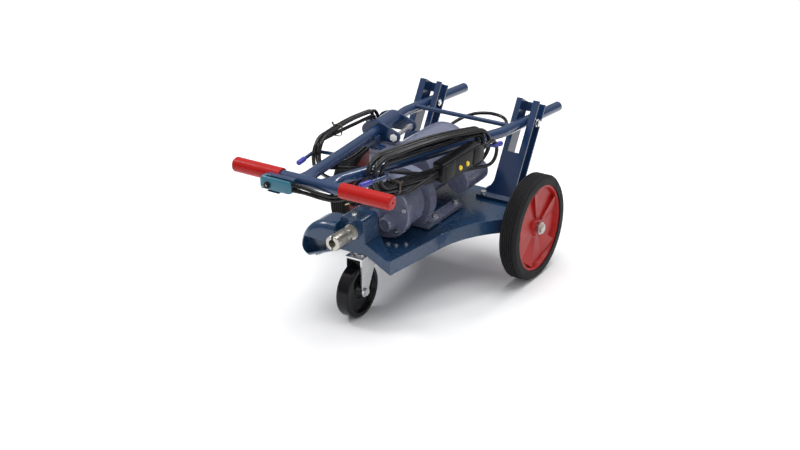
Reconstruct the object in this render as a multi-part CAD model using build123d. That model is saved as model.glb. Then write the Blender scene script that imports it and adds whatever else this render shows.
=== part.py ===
from build123d import *
from math import acos, atan2, ceil, cos, pi, radians, sin, sqrt, tan
import os

os.makedirs("parts", exist_ok=True)

# All lengths are millimetres. The drawing frame has X forward from the rear axle, Y to the
# machine's left and Z up from the floor; the last section moves it to the middle of the footprint.

# Rear wheels and axle
wheel_dia = 254.0
tyre_width = 44.0
wheel_gap = 11.0
tyre_shoulder = 6.0
rim_dia = 208.0
rim_lip = 6.0
rim_inset = 3.0
web_thick = 6.0
web_depth = 15.0
hub_dia = 46.0
spoke_count = 5
spoke_rise = 10.0
groove_count = 5
groove_width = 2.4
groove_depth = 2.4
axle_dia = 15.9
washer_dia = 30.0
washer_thick = 2.0
cap_nut_width = 22.0
cap_nut_height = 7.5

# Caster
caster_dia = 127.0
caster_width = 33.0
caster_hub_dia = 34.0
caster_recess = 8.0
caster_trail = 18.0
swivel_x = 372.0
fork_gap = 36.0
fork_plate = 4.0
fork_reach = 32.0
fork_tail = 28.0
race_height = 11.0
race_dia = 48.0
kingpin_dia = 12.0
caster_bolt_dia = 10.0

# Base casting
plate_top = 164.0
plate_thick = 6.0
flange_height = 34.0
rear_edge = -70.0
rear_half = 203.0
side_end = (81.0, 194.0)
side_break = (230.0, 121.0)
front_face = 408.0
front_half = 99.0
arch_half = 31.0
arch_top = 166.0
ear_thick = 18.0
ear_radius = 20.0
pad_height = 4.0
deck_screws = [(331.0, 46.0), (329.0, 65.0), (313.0, 81.0)]
screw_size = 5.0

# Front pedestal
pedestal_back = 350.0
pedestal_half_base = 36.0
pedestal_half_top = 30.0
pedestal_top = 246.0
flare_front = 16.0
flare_top = 190.0
boss_dia = 43.0
boss_proud = 4.0
bush_dia = 36.0
oiler_dia = 13.0
oiler_height = 8.0

# Guard hood on the front's right side
hood_back = 376.0
hood_front = 438.0
hood_reach = 124.0
hood_top = 234.0
hood_round = 18.0
mouth_wall = 9.0
mouth_top = 188.0
mouth_inner = -48.0
mouth_depth = 26.0

# Handle uprights
upright_y = 135.0
upright_lean = 30.7
upright_foot_x = -30.0
upright_top = 379.0
upright_gap = 30.0
upright_depth = 40.0
outer_flange = 17.0
inner_flange = 14.0
sheet = 4.0
front_plate_top = 265.0
gusset_foot = 24.0
gusset_height = 60.0
foot_thick = 8.0
foot_inner = 80.0
foot_outer = 190.0
foot_front = -6.0
bury = 40.0

# Folding handle
pivot_x = -151.0
pivot_z = 324.0
pivot_bolt_dia = 10.0
handle_slope = 4.58
tube_dia = 25.4
tube_wall = 2.0
stub_length = 166.0
bend_at = 121.0
bend_radius = 120.0
bar_at = 708.0
bar_half = 197.0
bar_tube_half = 24.0
flat_width = 45.0
flat_height = 16.0
flat_length = 55.0
cross_rod_at = 86.0
cross_rod_dia = 11.0
cross_rod_rise = 7.0
grip_dia = 33.0
grip_start = 75.0
grip_end_wall = 3.0
grip_vent_dia = 5.0
hook_dia = 8.0
hook_bend = 14.0
tip_dia = 12.0
tip_length = 34.0
hook_front_reach = 84.0
hook_rear_reach = 52.0
hook_dip = 3.0
left_hook_rise = (2.0, 2.0)
right_hook_rise = (7.5, 2.0)

# Handle clamp and its rest
clamp_at = 252.0
clamp_length = 112.0
clamp_arch_dia = 46.0
clamp_wall = 5.0
clamp_plate = 7.0
clamp_plate_dia = 51.0
clamp_lug_dia = 24.0
clamp_bolt_dia = 10.0
clamp_bolt_side = 46.0
clamp_bolt_drop = 9.0
clamp_spacer = 26.0
rest_at = 335.0
rest_width = 22.0

# Switch box
switch_far = -117.0
switch_near = -27.0
switch_height = 37.0
flap_drop = 8.4
lead_spacing = 13.0
boss_reach = 8.0
switch_depth = 24.0
switch_round = 7.0
bracket_sheet = 2.5
bracket_strap_near = -49.0
toggle_y = -104.0
toggle_dia = 5.0
toggle_length = 15.0
bushing_dia = 11.0
bushing_length = 5.0
toggle_well = 8.0

# Gear unit
shaft_z = 213.0
gear_module = 2.0
pinion_teeth = 11
wheel_teeth = 37
motor_angle = 117.2
unit_y = 22.0
unit_z = 235.0
case_rear = 150.0
case_wall = 5.0
disc_rear = 200.0
disc_front = 225.0
disc_dia = 141.0
drum_dia = 122.0
cover_rear = 298.0
cover_front = 315.0
cover_dia = 136.0
screw_circle = 116.0
screw_count = 6
screw_dia = 9.0
output_boss_dia = 42.0
output_boss_length = 13.0
cap_boss_y = 36.0
cap_boss_z = 208.0
cap_boss_dia = 34.0
cap_boss_length = 19.0
rail_rear = 60.0
rail_width = 30.0
rail_thick = 9.0
rail_near = 71.0
rail_far = -71.0

# Output shaft and coupling
shaft_dia = 25.0
nose_dia = 18.0
coupling_dia = 34.0
coupling_start = 428.0
coupling_end = 485.0
neck_dia = 23.0
socket_dia = 18.0
socket_depth = 30.0
coupling_slot = 5.0
coupling_slot_depth = 12.0
coupling_flat = 30.0
bearing_out = 17.0
bearing_width = 9.0
rear_journal = 10.0

# Motor
motor_dia = 142.0
motor_wall = 4.0
motor_rear = -20.0
bell_rear = -54.0
rotor_shaft_dia = 15.0
rotor_dia = 75.0
stack_rear = 25.0
stack_front = 105.0
air_gap = 0.6
winding_reach = 14.0
fan_dia = 108.0
fan_blades = 8
vent_count = 8
can_y = 76.0
can_z = 233.0
can_dia = 58.0
can_rear = -26.0
can_front = 78.0
can_wall = 2.0
box_rear = 120.0
box_front = 200.0
box_far = -92.0
box_near = -36.0
box_bottom = 286.0
box_top = 321.0
cable_gland_y = -52.0
cable_gland_z = 290.0

# Cord
cord_dia = 8.5
cord_pitch = 9.3
left_hank_offset = 19.5
left_hank_layers = 4
left_half_turns = 12
left_hank_length = 302.0
left_hank_at = 409.0
left_hank_rise = 3.0
left_hank_half = 40.5
left_start_at = -58.0
right_hank_length = 270.0
right_hank_at = 376.0
right_hank_rise = -5.8
right_hank_half = 38.0
right_hank_tilt = 2.5
right_hank_offset = 38.0
right_hank_layers = 2
right_half_turns = 6
right_start_at = 100.0
tie_width = 6.0
lead_gap_y = 36.0
breaker_length = 145.0
breaker_height = 45.0
breaker_thick = 34.0
breaker_tilt = 11.6
breaker_shift = -53.0
breaker_rise = -8.6
relief_length = 22.0
relief_dia = 15.0
button_width = 12.0
button_height = 9.0
button_proud = 2.5
button_seat = 3.0
button_travel = 1.5
button_places = {"breaker_test_button": (12.0, -6.0), "breaker_reset_button": (-12.0, -6.0)}
plug_dia = 29.0
plug_length = 36.0
plug_relief = 20.0
blade_length = 20.0
blade_width = 6.4
blade_thick = 1.5
blade_spacing = 12.7

# Fits
running_fit = 0.05
body_gap = 0.4
bolt_dia = 8.0
bolt_clearance = 0.2

# Places worked out from the sizes
axle_z = wheel_dia / 2
tyre_face = rear_half + wheel_gap
tyre_out = tyre_face + tyre_width
plate_bottom = plate_top - plate_thick
flange_bottom = plate_top - flange_height
caster_x = swivel_x + caster_trail
caster_z = caster_dia / 2
fork_top = plate_bottom - race_height
shaft_r = shaft_dia / 2
tube_r = tube_dia / 2
cord_r = cord_dia / 2
centre_distance = gear_module * (pinion_teeth + wheel_teeth) / 2
motor_y = centre_distance * cos(radians(motor_angle))
motor_z = shaft_z + centre_distance * sin(radians(motor_angle))
output_axis = (0.0, shaft_z)
motor_axis = (motor_y, motor_z)
unit_axis = (unit_y, unit_z)
FORWARD = Vector(1, 0, 0)
LEFT = Vector(0, 1, 0)
UP = Vector(0, 0, 1)
FROM_START = (Align.CENTER, Align.CENTER, Align.MIN)

nodes = {}


# Shared shapes
def block(x0, x1, y0, y1, z0, z1):
    """A box between two corners."""
    middle = Pos((x0 + x1) / 2, (y0 + y1) / 2, (z0 + z1) / 2)
    return middle * Box(x1 - x0, y1 - y0, z1 - z0)


def rod(start, end, radius):
    """A round bar between two points."""
    start = Vector(*start)
    line = Vector(*end) - start
    return Plane(origin=start, z_dir=line) * Cylinder(radius, line.length, align=FROM_START)


def along_x(x0, x1, axis, radius):
    """A round bar parallel to X about an axis given as (y, z)."""
    return rod((x0, *axis), (x1, *axis), radius)


def ring_x(x0, x1, axis, outer, inner):
    """A sleeve parallel to X."""
    return along_x(x0, x1, axis, outer) - along_x(x0, x1, axis, inner)


def turned(points, centre, direction):
    """A solid of revolution; the points are (distance along the axis, radius)."""
    across = FORWARD if abs(direction.Z) > 0.5 else UP
    plane = Plane(origin=centre, x_dir=direction, z_dir=direction.cross(across))
    return revolve(plane * make_face(Polyline(*points, close=True)), Axis(centre, direction))


def hexagon(start, direction, width, height):
    """A hexagonal head or nut of a given width across flats."""
    plane = Plane(origin=start, z_dir=direction)
    return plane * extrude(RegularPolygon(width / 2, 6, major_radius=False), height)


def bolt_down(x, y, seat, depth, dia):
    """A hexagon bolt standing on a level seat, with its washer."""
    washer = dia * 0.2
    shape = rod((x, y, seat - depth), (x, y, seat + washer), dia / 2)
    shape += rod((x, y, seat), (x, y, seat + washer), dia)
    shape += hexagon((x, y, seat + washer), UP, dia * 1.6, dia * 0.65)
    return shape


def swept(edges, radius):
    """A round bar along a chain of tangent edges."""
    path = Wire(edges)
    start = Plane(origin=path @ 0, z_dir=path % 0)
    return sweep(start * Circle(radius), path=path)


def mirrored(shape):
    """The same shape on the other side of the machine."""
    return mirror(shape, about=Plane.XZ)


def route_radii(points):
    """The bend radius at each inner point of a cord's route."""
    radii = []
    for before, here, after in zip(points, points[1:], points[2:]):
        turn = radians((here - before).get_angle(after - here))
        shorter = min((here - before).length, (after - here).length)
        radii.append(0.45 * shorter / tan(turn / 2))
    return radii


def cord_edges(points):
    """Straight runs joined by arcs as large as the runs allow."""
    points = [Vector(*point) for point in points]
    return FilletPolyline(*points, radius=route_radii(points)).edges()


def report_cord(name, shape, edges, radii):
    """Print a cord's length, its tightest bend and how its volume compares."""
    length = sum(edge.length for edge in edges)
    share = shape.volume / (pi * cord_r**2 * length)
    print(f"{name}: length {length:.0f}, tightest bend {min(radii):.0f}, volume share {share:.4f}")


# Wheels
def wheel_tyre():
    """Solid rubber tyre with a flat tread and running grooves."""
    outer = wheel_dia / 2
    rim = rim_dia / 2
    lands = groove_count + 1
    land = (tyre_width - 2 * tyre_shoulder - groove_count * groove_width) / lands
    points = [(tyre_face, rim), (tyre_face, outer - tyre_shoulder), (tyre_face + tyre_shoulder, outer)]
    along = tyre_face + tyre_shoulder
    for groove in range(groove_count):
        along += land
        points.append((along, outer))
        points.append((along + groove_width * 0.25, outer - groove_depth))
        points.append((along + groove_width * 0.75, outer - groove_depth))
        along += groove_width
        points.append((along, outer))
    points.append((tyre_out - tyre_shoulder, outer))
    points.append((tyre_out, outer - tyre_shoulder))
    points.append((tyre_out, rim))
    return turned(points, (0, 0, axle_z), LEFT)


def wheel_hub():
    """Dished disc wheel with a rolled lip and ramped spokes."""
    rim = rim_dia / 2
    inner = rim - rim_lip
    outside = tyre_out - rim_inset
    inside = tyre_face + rim_inset
    dish = outside - web_depth
    hub_r = hub_dia / 2
    bore = axle_dia / 2 + running_fit
    points = [(inside, inner), (inside, rim), (outside, rim), (outside, inner), (dish + web_thick, inner - 4)]
    points += [(dish + web_thick, hub_r), (outside - 2, hub_r - 4), (outside - 2, bore), (inside, bore)]
    points += [(inside, hub_r - 4), (dish, hub_r), (dish, inner)]
    hub = turned(points, (0, 0, axle_z), LEFT)
    seat = dish + web_thick - 1
    foot = hub_r + 2
    reach = inner - 7
    half_foot = foot * sin(pi / spoke_count / 2)
    half_reach = reach * sin(pi / spoke_count / 2)

    def ramp(out, half, rise):
        plane = Plane(origin=(0, seat, out), x_dir=(1, 0, 0), z_dir=(0, 0, 1))
        return plane * make_face(Polyline((-half, 0), (half, 0), (half, rise), close=True))

    spoke = loft([ramp(foot, half_foot, spoke_rise * 0.5), ramp(reach, half_reach, spoke_rise)], ruled=True)
    for index in range(spoke_count):
        hub += Pos(0, 0, axle_z) * Rot(0, 360 / spoke_count * index, 0) * spoke
    return hub


def axle_nut():
    """Washer and domed cap nut outside the wheel."""
    start = tyre_out + body_gap
    seat = start + washer_thick
    shape = rod((0, start, axle_z), (0, seat, axle_z), washer_dia / 2)
    shape += hexagon((0, seat, axle_z), LEFT, cap_nut_width, cap_nut_height * 0.6)
    dome = cap_nut_width / 2 - 1
    points = [(seat, 0), (seat, dome), (seat + cap_nut_height * 0.7, dome)]
    points += [(seat + cap_nut_height * 0.9, dome * 0.7), (seat + cap_nut_height, 0)]
    shape += turned(points, (0, 0, axle_z), LEFT)
    return shape - rod((0, 0, axle_z), (0, seat + cap_nut_height * 0.5, axle_z), axle_dia / 2)


nodes["left_tyre"] = wheel_tyre()
nodes["left_hub"] = wheel_hub()
nodes["right_tyre"] = mirrored(nodes["left_tyre"])
nodes["right_hub"] = mirrored(nodes["left_hub"])
axle_end = tyre_out + body_gap + washer_thick + cap_nut_height * 0.5
nodes["rear_axle"] = rod((0, -axle_end, axle_z), (0, axle_end, axle_z), axle_dia / 2)
nodes["axle_cap_nuts"] = Part() + [axle_nut(), mirrored(axle_nut())]


# Caster
def caster_wheel():
    """Wheel with rounded tread and recessed faces."""
    half = caster_width / 2
    hub_half = fork_gap / 2 - body_gap
    outer = caster_dia / 2
    hub_r = caster_hub_dia / 2
    bore = caster_bolt_dia / 2 + running_fit
    web = half - caster_recess
    side = [(half, outer - 5), (half, outer - 12), (web, outer - 16), (web, hub_r + 3), (hub_half, hub_r - 4)]
    points = [(-along, out) for along, out in reversed(side)]
    points += [(-half + 1.5, outer - 1.5), (-half + 5, outer), (half - 5, outer), (half - 1.5, outer - 1.5)]
    points += side + [(hub_half, bore), (-hub_half, bore)]
    return turned(points, (caster_x, 0, caster_z), LEFT)


def caster_fork():
    """Pressed fork: a top plate with its race and two tapering legs."""
    inner = fork_gap / 2
    outer = inner + fork_plate
    back = swivel_x - fork_tail
    front = swivel_x + fork_reach
    foot = 13.0
    leg_top = fork_top
    profile = Polyline(
        (back, leg_top),
        (front, leg_top),
        (caster_x + foot, caster_z),
        (caster_x - foot, caster_z),
        (back, leg_top - 18),
        close=True,
    )
    leg_plane = Plane(origin=(0, inner, 0), x_dir=(1, 0, 0), z_dir=(0, -1, 0))
    leg = leg_plane * extrude(make_face(profile), -fork_plate)
    leg += rod((caster_x, inner, caster_z), (caster_x, outer, caster_z), foot)
    leg -= rod((caster_x, 0, caster_z), (caster_x, outer, caster_z), caster_bolt_dia / 2 + running_fit)
    leg -= rod((back + 12, 0, leg_top - 14), (back + 12, outer, leg_top - 14), 3.5)
    plate = block(back, front, -outer, outer, fork_top - fork_plate, fork_top)
    race = rod((swivel_x, 0, fork_top), (swivel_x, 0, fork_top + race_height * 0.35), race_dia / 2 - 3)
    hole_top = fork_top + race_height
    fork = plate + race + leg + mirrored(leg)
    return fork - rod((swivel_x, 0, caster_z), (swivel_x, 0, hole_top), kingpin_dia / 2 + running_fit)


def caster_axle():
    """Through bolt with a head and a nut outside the fork legs."""
    outer = fork_gap / 2 + fork_plate
    radius = caster_bolt_dia / 2
    thick = caster_bolt_dia * 0.55
    bolt = rod((caster_x, -outer - thick, caster_z), (caster_x, outer + thick, caster_z), radius)
    head = hexagon((caster_x, outer, caster_z), LEFT, caster_bolt_dia * 1.6, thick)
    return bolt + head + mirrored(head)


def caster_mount():
    """Fixed race under the casting and the kingpin that carries the fork."""
    lower = fork_top + race_height * 0.35 + body_gap
    points = [(lower, 0), (lower, race_dia / 2 - 4), (lower + 3, race_dia / 2), (plate_bottom, race_dia / 2)]
    points += [(plate_bottom, 0)]
    mount = turned(points, (swivel_x, 0, 0), UP)
    head_top = fork_top - fork_plate - body_gap
    mount += rod((swivel_x, 0, head_top), (swivel_x, 0, plate_top + 12), kingpin_dia / 2)
    return mount + rod((swivel_x, 0, head_top - 5), (swivel_x, 0, head_top), kingpin_dia)


nodes["caster_wheel"] = caster_wheel()
nodes["caster_fork"] = caster_fork()
nodes["caster_axle"] = caster_axle()
nodes["caster_mount"] = caster_mount()

# Places of the bolts that stand on the base plate
rail_bolts = [(x, y) for y in (rail_near, rail_far) for x in (rail_rear + 15, disc_rear - 30)]
foot_bolt_y = (foot_inner + 14, foot_outer - 14)
foot_bolts = [(foot_front - 12, side * y) for side in (1, -1) for y in foot_bolt_y]
rail_seat = plate_top + pad_height + rail_thick
foot_seat = plate_top + foot_thick


# Base casting
def side_edges(inset):
    """One side of the plate's outline, from the front corner back to the rear corner."""
    corner = (front_face, front_half - inset)
    bend = (side_break[0], side_break[1] - inset)
    end = (side_end[0] - inset * 0.5, side_end[1] - inset)
    first = Line(corner, bend)
    second = TangentArc(bend, end, tangent=first % 1)
    along = second % 1
    reach = (rear_half - inset - end[1]) / along.Y
    widest = (end[0] + along.X * reach, rear_half - inset)
    third = Line(end, widest)
    fourth = Line(widest, (rear_edge + inset, rear_half - inset))
    return [first, second, third, fourth]


def plan_face(inset, front):
    """The plate's outline, drawn in by an inset and stopped at a given front line."""
    left = side_edges(inset)
    right = [mirror(edge, about=Plane.XZ) for edge in left]
    rear = Line(left[-1] @ 1, right[-1] @ 1)
    nose = Line(left[0] @ 0, right[0] @ 0)
    face = make_face([edge.edges()[0] for edge in left + right + [rear, nose]])
    return face & Pos((front + rear_edge) / 2, 0) * Rectangle(front - rear_edge, 3 * rear_half)


def guard_hood():
    """Hollow-fronted rounded hood that reaches out on the front's right side."""
    inner = pedestal_half_top - 2
    tip = -hood_reach
    low = flange_bottom + 6
    top = Line((-inner, hood_top), (-inner - 25, hood_top - 1))
    crown = TangentArc(top @ 1, (tip, flange_bottom + 36), tangent=top % 1)
    lip = TangentArc(crown @ 1, (tip + 22, low), tangent=crown % 1)
    under = Line(lip @ 1, (-inner, arch_top))
    close = Line(under @ 1, top @ 0)
    outline = make_face([top, crown, lip, under, close])
    bulge = hood_front - hood_back
    plane = Plane(origin=(hood_back, 0, 0), x_dir=LEFT, z_dir=FORWARD)
    hood = plane * extrude(outline, bulge)
    front_edges = hood.faces().sort_by(Axis.X)[-1].edges()
    hood = fillet(front_edges.sort_by(Axis.Y)[:3], hood_round)
    lower = Pos((tip + mouth_inner) / 2, (low + mouth_top) / 2) * Rectangle(mouth_inner - tip, mouth_top - low)
    mouth = offset(outline, -mouth_wall) & lower
    front = Plane(origin=(hood_front, 0, 0), x_dir=LEFT, z_dir=FORWARD)
    return hood - front * extrude(mouth, -mouth_depth)


def base_casting():
    """Ribbed tray with the front pedestal, the flared front wall and the axle ears."""
    outside = plan_face(0, front_face)
    inside = plan_face(plate_thick, front_face - plate_thick)
    casting = Pos(0, 0, flange_bottom) * extrude(outside, flange_height)
    casting -= Pos(0, 0, flange_bottom) * extrude(inside, flange_height - plate_thick)
    wall_back = front_face - plate_thick
    casting += block(wall_back, front_face, -front_half, front_half, flange_bottom, plate_top)

    foot_plane = Plane(origin=((front_face + front_face - flare_front) / 2, 0, plate_bottom))
    neck_plane = Plane(origin=((front_face + pedestal_back) / 2, 0, flare_top))
    flare_foot = foot_plane * Rectangle(flare_front, 2 * front_half - 2)
    depth = front_face - pedestal_back
    flare_neck = neck_plane * Rectangle(depth, 2 * pedestal_half_base)
    casting += loft([flare_foot, flare_neck], ruled=True)
    base_plane = Plane(origin=((front_face + pedestal_back) / 2, 0, plate_bottom))
    top_plane = Plane(origin=((front_face + pedestal_back) / 2, 0, pedestal_top))
    lower = base_plane * Rectangle(depth, 2 * pedestal_half_base)
    pedestal = loft([lower, top_plane * Rectangle(depth, 2 * pedestal_half_top)], ruled=True)
    crown = pedestal.edges().filter_by(Axis.X).sort_by(Axis.Z)[-2:]
    casting += fillet(crown, 11)
    casting += along_x(front_face - 2, front_face + boss_proud, output_axis, boss_dia / 2)
    casting += guard_hood()

    arch = Plane(origin=(wall_back - 1, 0, 0), x_dir=(0, 1, 0), z_dir=(1, 0, 0))
    arch_line = Polyline(
        (-arch_half, arch_top),
        (arch_half, arch_top),
        (front_half, flange_bottom),
        (front_half, flange_bottom - 20),
        (-front_half, flange_bottom - 20),
        (-front_half, flange_bottom),
        close=True,
    )
    casting -= arch * extrude(make_face(arch_line), plate_thick + 1 + boss_proud)

    for side in (1, -1):
        inner = side * (rear_half - ear_thick)
        ear = block(-ear_radius, ear_radius, min(inner, side * rear_half), max(inner, side * rear_half),
                    axle_z, plate_bottom + 1)
        ear += rod((0, inner, axle_z), (0, side * rear_half, axle_z), ear_radius)
        casting += ear
    casting -= rod((0, -rear_half - 1, axle_z), (0, rear_half + 1, axle_z), axle_dia / 2)
    for x, y in rail_bolts:
        casting += rod((x, y, plate_top - 1), (x, y, plate_top + pad_height), rail_width / 2)
    for x, y in rail_bolts + foot_bolts:
        hole_top = plate_top + pad_height + 1
        casting -= rod((x, y, plate_bottom - 1), (x, y, hole_top), bolt_dia / 2 + bolt_clearance)
    for x, y in deck_screws:
        casting -= rod((x, y, plate_bottom - 1), (x, y, plate_top + 1), screw_size / 2 + bolt_clearance)
    casting -= along_x(pedestal_back - 1, front_face + boss_proud + 1, output_axis, bush_dia / 2)
    casting -= rod((swivel_x, 0, plate_bottom - 1), (swivel_x, 0, plate_top + 12), kingpin_dia / 2)
    return casting


nodes["base_casting"] = base_casting()
bush_back = pedestal_back - 2
bush_front = front_face + boss_proud
nodes["bearing_bush"] = ring_x(bush_back, bush_front, output_axis, bush_dia / 2, shaft_r + running_fit)
oiler_x = front_face - 12
oiler_top = pedestal_top + oiler_height
oiler = rod((oiler_x, 0, pedestal_top), (oiler_x, 0, oiler_top), oiler_dia / 2)
oiler_cup = rod((oiler_x, 0, pedestal_top + 3), (oiler_x, 0, oiler_top), oiler_dia / 2 - 2.5)
nodes["bearing_oiler"] = oiler - oiler_cup

# Uprights, drawn in the plane of the leaning front face: across, up the lean, out of the face
lean = radians(upright_lean)
up_lean = Vector(-sin(lean), 0, cos(lean))
lean_plane = Plane(origin=(upright_foot_x, upright_y, foot_seat), x_dir=LEFT, z_dir=LEFT.cross(up_lean))
pivot_local = lean_plane.to_local_coords(Vector(pivot_x, upright_y, pivot_z))
upright_reach = (upright_top - foot_seat) / cos(lean)


def channel(flange):
    """One folded member of an upright: a web at the gap and a flange at its front and rear."""
    near = upright_gap / 2
    far = near + flange
    shape = block(near, near + sheet, -bury, upright_reach, -upright_depth, 0)
    shape += block(near, far, -bury, upright_reach, -upright_depth, sheet - upright_depth)
    return shape + block(near, far, -bury, upright_reach, -sheet, 0)


def upright():
    """Left upright: two folded members, a lower front plate, a gusset, a top stop and a foot."""
    half_gap = upright_gap / 2
    back = sheet - upright_depth
    walls = channel(outer_flange) + mirror(channel(inner_flange), about=Plane.YZ)
    plate_reach = (front_plate_top - foot_seat) / cos(lean)
    walls += block(-half_gap - sheet, half_gap + sheet, -bury, plate_reach, -sheet, 0)
    stop_start = pivot_local.Y + tube_r + 13
    walls += block(-half_gap - 1, half_gap + 1, stop_start, upright_reach, -upright_depth, back)
    edge = -half_gap - inner_flange
    low = (edge - gusset_foot, 0)
    high = (edge, gusset_height)
    curve = ThreePointArc(low, (edge - gusset_foot * 0.28, gusset_height * 0.28), high)
    rest = Polyline(high, (edge + 2, gusset_height), (edge + 2, -bury), (edge - gusset_foot, -bury), low)
    gusset = extrude(make_face(curve.edges() + rest.edges()), -sheet)
    shape = lean_plane * (walls + gusset)
    shape -= block(-400, 200, 0, 400, 0, plate_top)
    foot = block(rear_edge, foot_front, foot_inner, foot_outer, plate_top, foot_seat)
    shape += foot
    for x, y in foot_bolts:
        shape -= rod((x, y, plate_top - 1), (x, y, foot_seat + 30), bolt_dia / 2 + bolt_clearance)
    return shape - rod((pivot_x, 0, pivot_z), (pivot_x, 300, pivot_z), pivot_bolt_dia / 2)


def pivot_bolt(y):
    """Bolt through an upright's walls, with its head outside and its nut inside."""
    half = upright_gap / 2 + sheet
    head = pivot_bolt_dia * 0.6
    shape = rod((pivot_x, y - half - head - 2, pivot_z), (pivot_x, y + half, pivot_z), pivot_bolt_dia / 2)
    shape += hexagon((pivot_x, y + half, pivot_z), LEFT, pivot_bolt_dia * 1.5, head)
    return shape + hexagon((pivot_x, y - half - head, pivot_z), LEFT, pivot_bolt_dia * 1.5, head)


nodes["left_upright"] = upright()
nodes["right_upright"] = mirrored(nodes["left_upright"])
nodes["pivot_bolts"] = Part() + [pivot_bolt(upright_y), pivot_bolt(-upright_y)]
bolts = [bolt_down(x, y, rail_seat, rail_thick + pad_height + plate_thick, bolt_dia) for x, y in rail_bolts]
bolts += [bolt_down(x, y, foot_seat, foot_thick + plate_thick, bolt_dia) for x, y in foot_bolts]
bolts += [bolt_down(x, y, plate_top, plate_thick, screw_size) for x, y in deck_screws]
nodes["mounting_bolts"] = Part() + bolts


# Gears
def involute(angle):
    """The involute function of a pressure angle in radians."""
    return tan(angle) - angle


def gear_outline(teeth, tooth_at):
    """Spur gear outline with one tooth centred on a given angle."""
    pitch = gear_module * teeth / 2
    base = pitch * cos(radians(20))
    tip = pitch + 0.8 * gear_module
    root = pitch - 1.1 * gear_module
    half_at_pitch = pi / (2 * teeth) - 0.06 * gear_module / pitch
    start = max(base, root + 0.1)
    points = []
    for tooth in range(teeth):
        centre = tooth_at + 2 * pi * tooth / teeth
        flank = []
        for step in range(4):
            radius = start + (tip - start) * step / 3
            half = half_at_pitch + involute(radians(20)) - involute(acos(min(1.0, base / radius)))
            flank.append((radius, half))
        root_half = flank[0][1]
        rising = [(root, -root_half)] + [(radius, -half) for radius, half in flank]
        falling = [(radius, half) for radius, half in reversed(flank)] + [(root, root_half)]
        for radius, turn in rising + falling:
            points.append((radius * cos(centre + turn), radius * sin(centre + turn)))
    return make_face(Polyline(*points, close=True))


def gear_solid(teeth, tooth_at, axis, x0, x1):
    """A gear between two stations, turning about an axis parallel to X."""
    plane = Plane(origin=(x0, *axis), x_dir=(0, 1, 0), z_dir=(1, 0, 0))
    return plane * extrude(gear_outline(teeth, tooth_at), x1 - x0)


mesh_angle = atan2(motor_z - shaft_z, motor_y)
gear_rear = case_rear + 16
gear_front = disc_rear - 8
wheel_tip = gear_module * (wheel_teeth / 2 + 0.8)
pinion_tip = gear_module * (pinion_teeth / 2 + 0.8)

# Gear unit
rail_bottom = plate_top + pad_height


def case_outline(margin):
    """Two circles joined by their tangents, round both gears."""
    low = Pos(*output_axis) * Circle(wheel_tip + margin)
    high = Pos(*motor_axis) * Circle(pinion_tip + 6 + margin)
    return make_hull(low.edges() + high.edges())


def gear_case():
    """Rear half of the gearing, open towards the drum, with its two bearing seats."""
    clearance = 2.5
    plane = Plane(origin=(case_rear, 0, 0), x_dir=(0, 1, 0), z_dir=(1, 0, 0))
    depth = disc_rear - case_rear
    case = plane * extrude(case_outline(clearance + case_wall), depth)
    hollow_plane = Plane(origin=(case_rear + case_wall, 0, 0), x_dir=(0, 1, 0), z_dir=(1, 0, 0))
    case -= hollow_plane * extrude(case_outline(clearance), depth)
    case += along_x(case_rear + 2, case_rear + 14, output_axis, bearing_out + 4)
    case -= along_x(case_rear + 3, disc_rear, output_axis, bearing_out)
    return case - along_x(case_rear - 1, disc_rear, motor_axis, rotor_shaft_dia / 2 + 1)


def gear_housing():
    """Flange disc, drum and the foot rails that stand on the base plate."""
    housing = along_x(disc_rear, disc_front, unit_axis, disc_dia / 2)
    neck = disc_front + 8
    points = [(disc_front, 0), (disc_front, drum_dia / 2 - 9), (neck, drum_dia / 2 - 9)]
    points += [(neck + 6, drum_dia / 2), (cover_rear, drum_dia / 2), (cover_rear, 0)]
    housing += turned(points, (0, *unit_axis), FORWARD)
    saddle = block(disc_rear, disc_front, rail_far - 15, rail_near + 15, rail_bottom, rail_seat)
    web = Plane(origin=(disc_rear, 0, 0), x_dir=(0, 1, 0), z_dir=(1, 0, 0))
    web_line = Polyline((rail_far, rail_seat - 1), (rail_near, rail_seat - 1), (unit_y + 62, unit_z - 28),
                        (unit_y - 62, unit_z - 28), close=True)
    housing += saddle + web * extrude(make_face(web_line), disc_front - disc_rear)
    for y in (rail_near, rail_far):
        half = rail_width / 2
        housing += block(rail_rear, disc_front, y - half, y + half, rail_bottom, rail_seat)
    housing -= along_x(disc_rear - 1, cover_rear + 1, output_axis, shaft_r + 1)
    for x, y in rail_bolts:
        housing -= rod((x, y, rail_bottom - 1), (x, y, rail_seat + 40), bolt_dia / 2 + bolt_clearance)
    return housing


def screw_places():
    """Centres of the cover screws, as (y, z)."""
    places = []
    for index in range(screw_count):
        turn = radians(360 / screw_count * index + 12)
        reach = screw_circle / 2
        places.append((unit_y + reach * cos(turn), unit_z + reach * sin(turn)))
    return places


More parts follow.
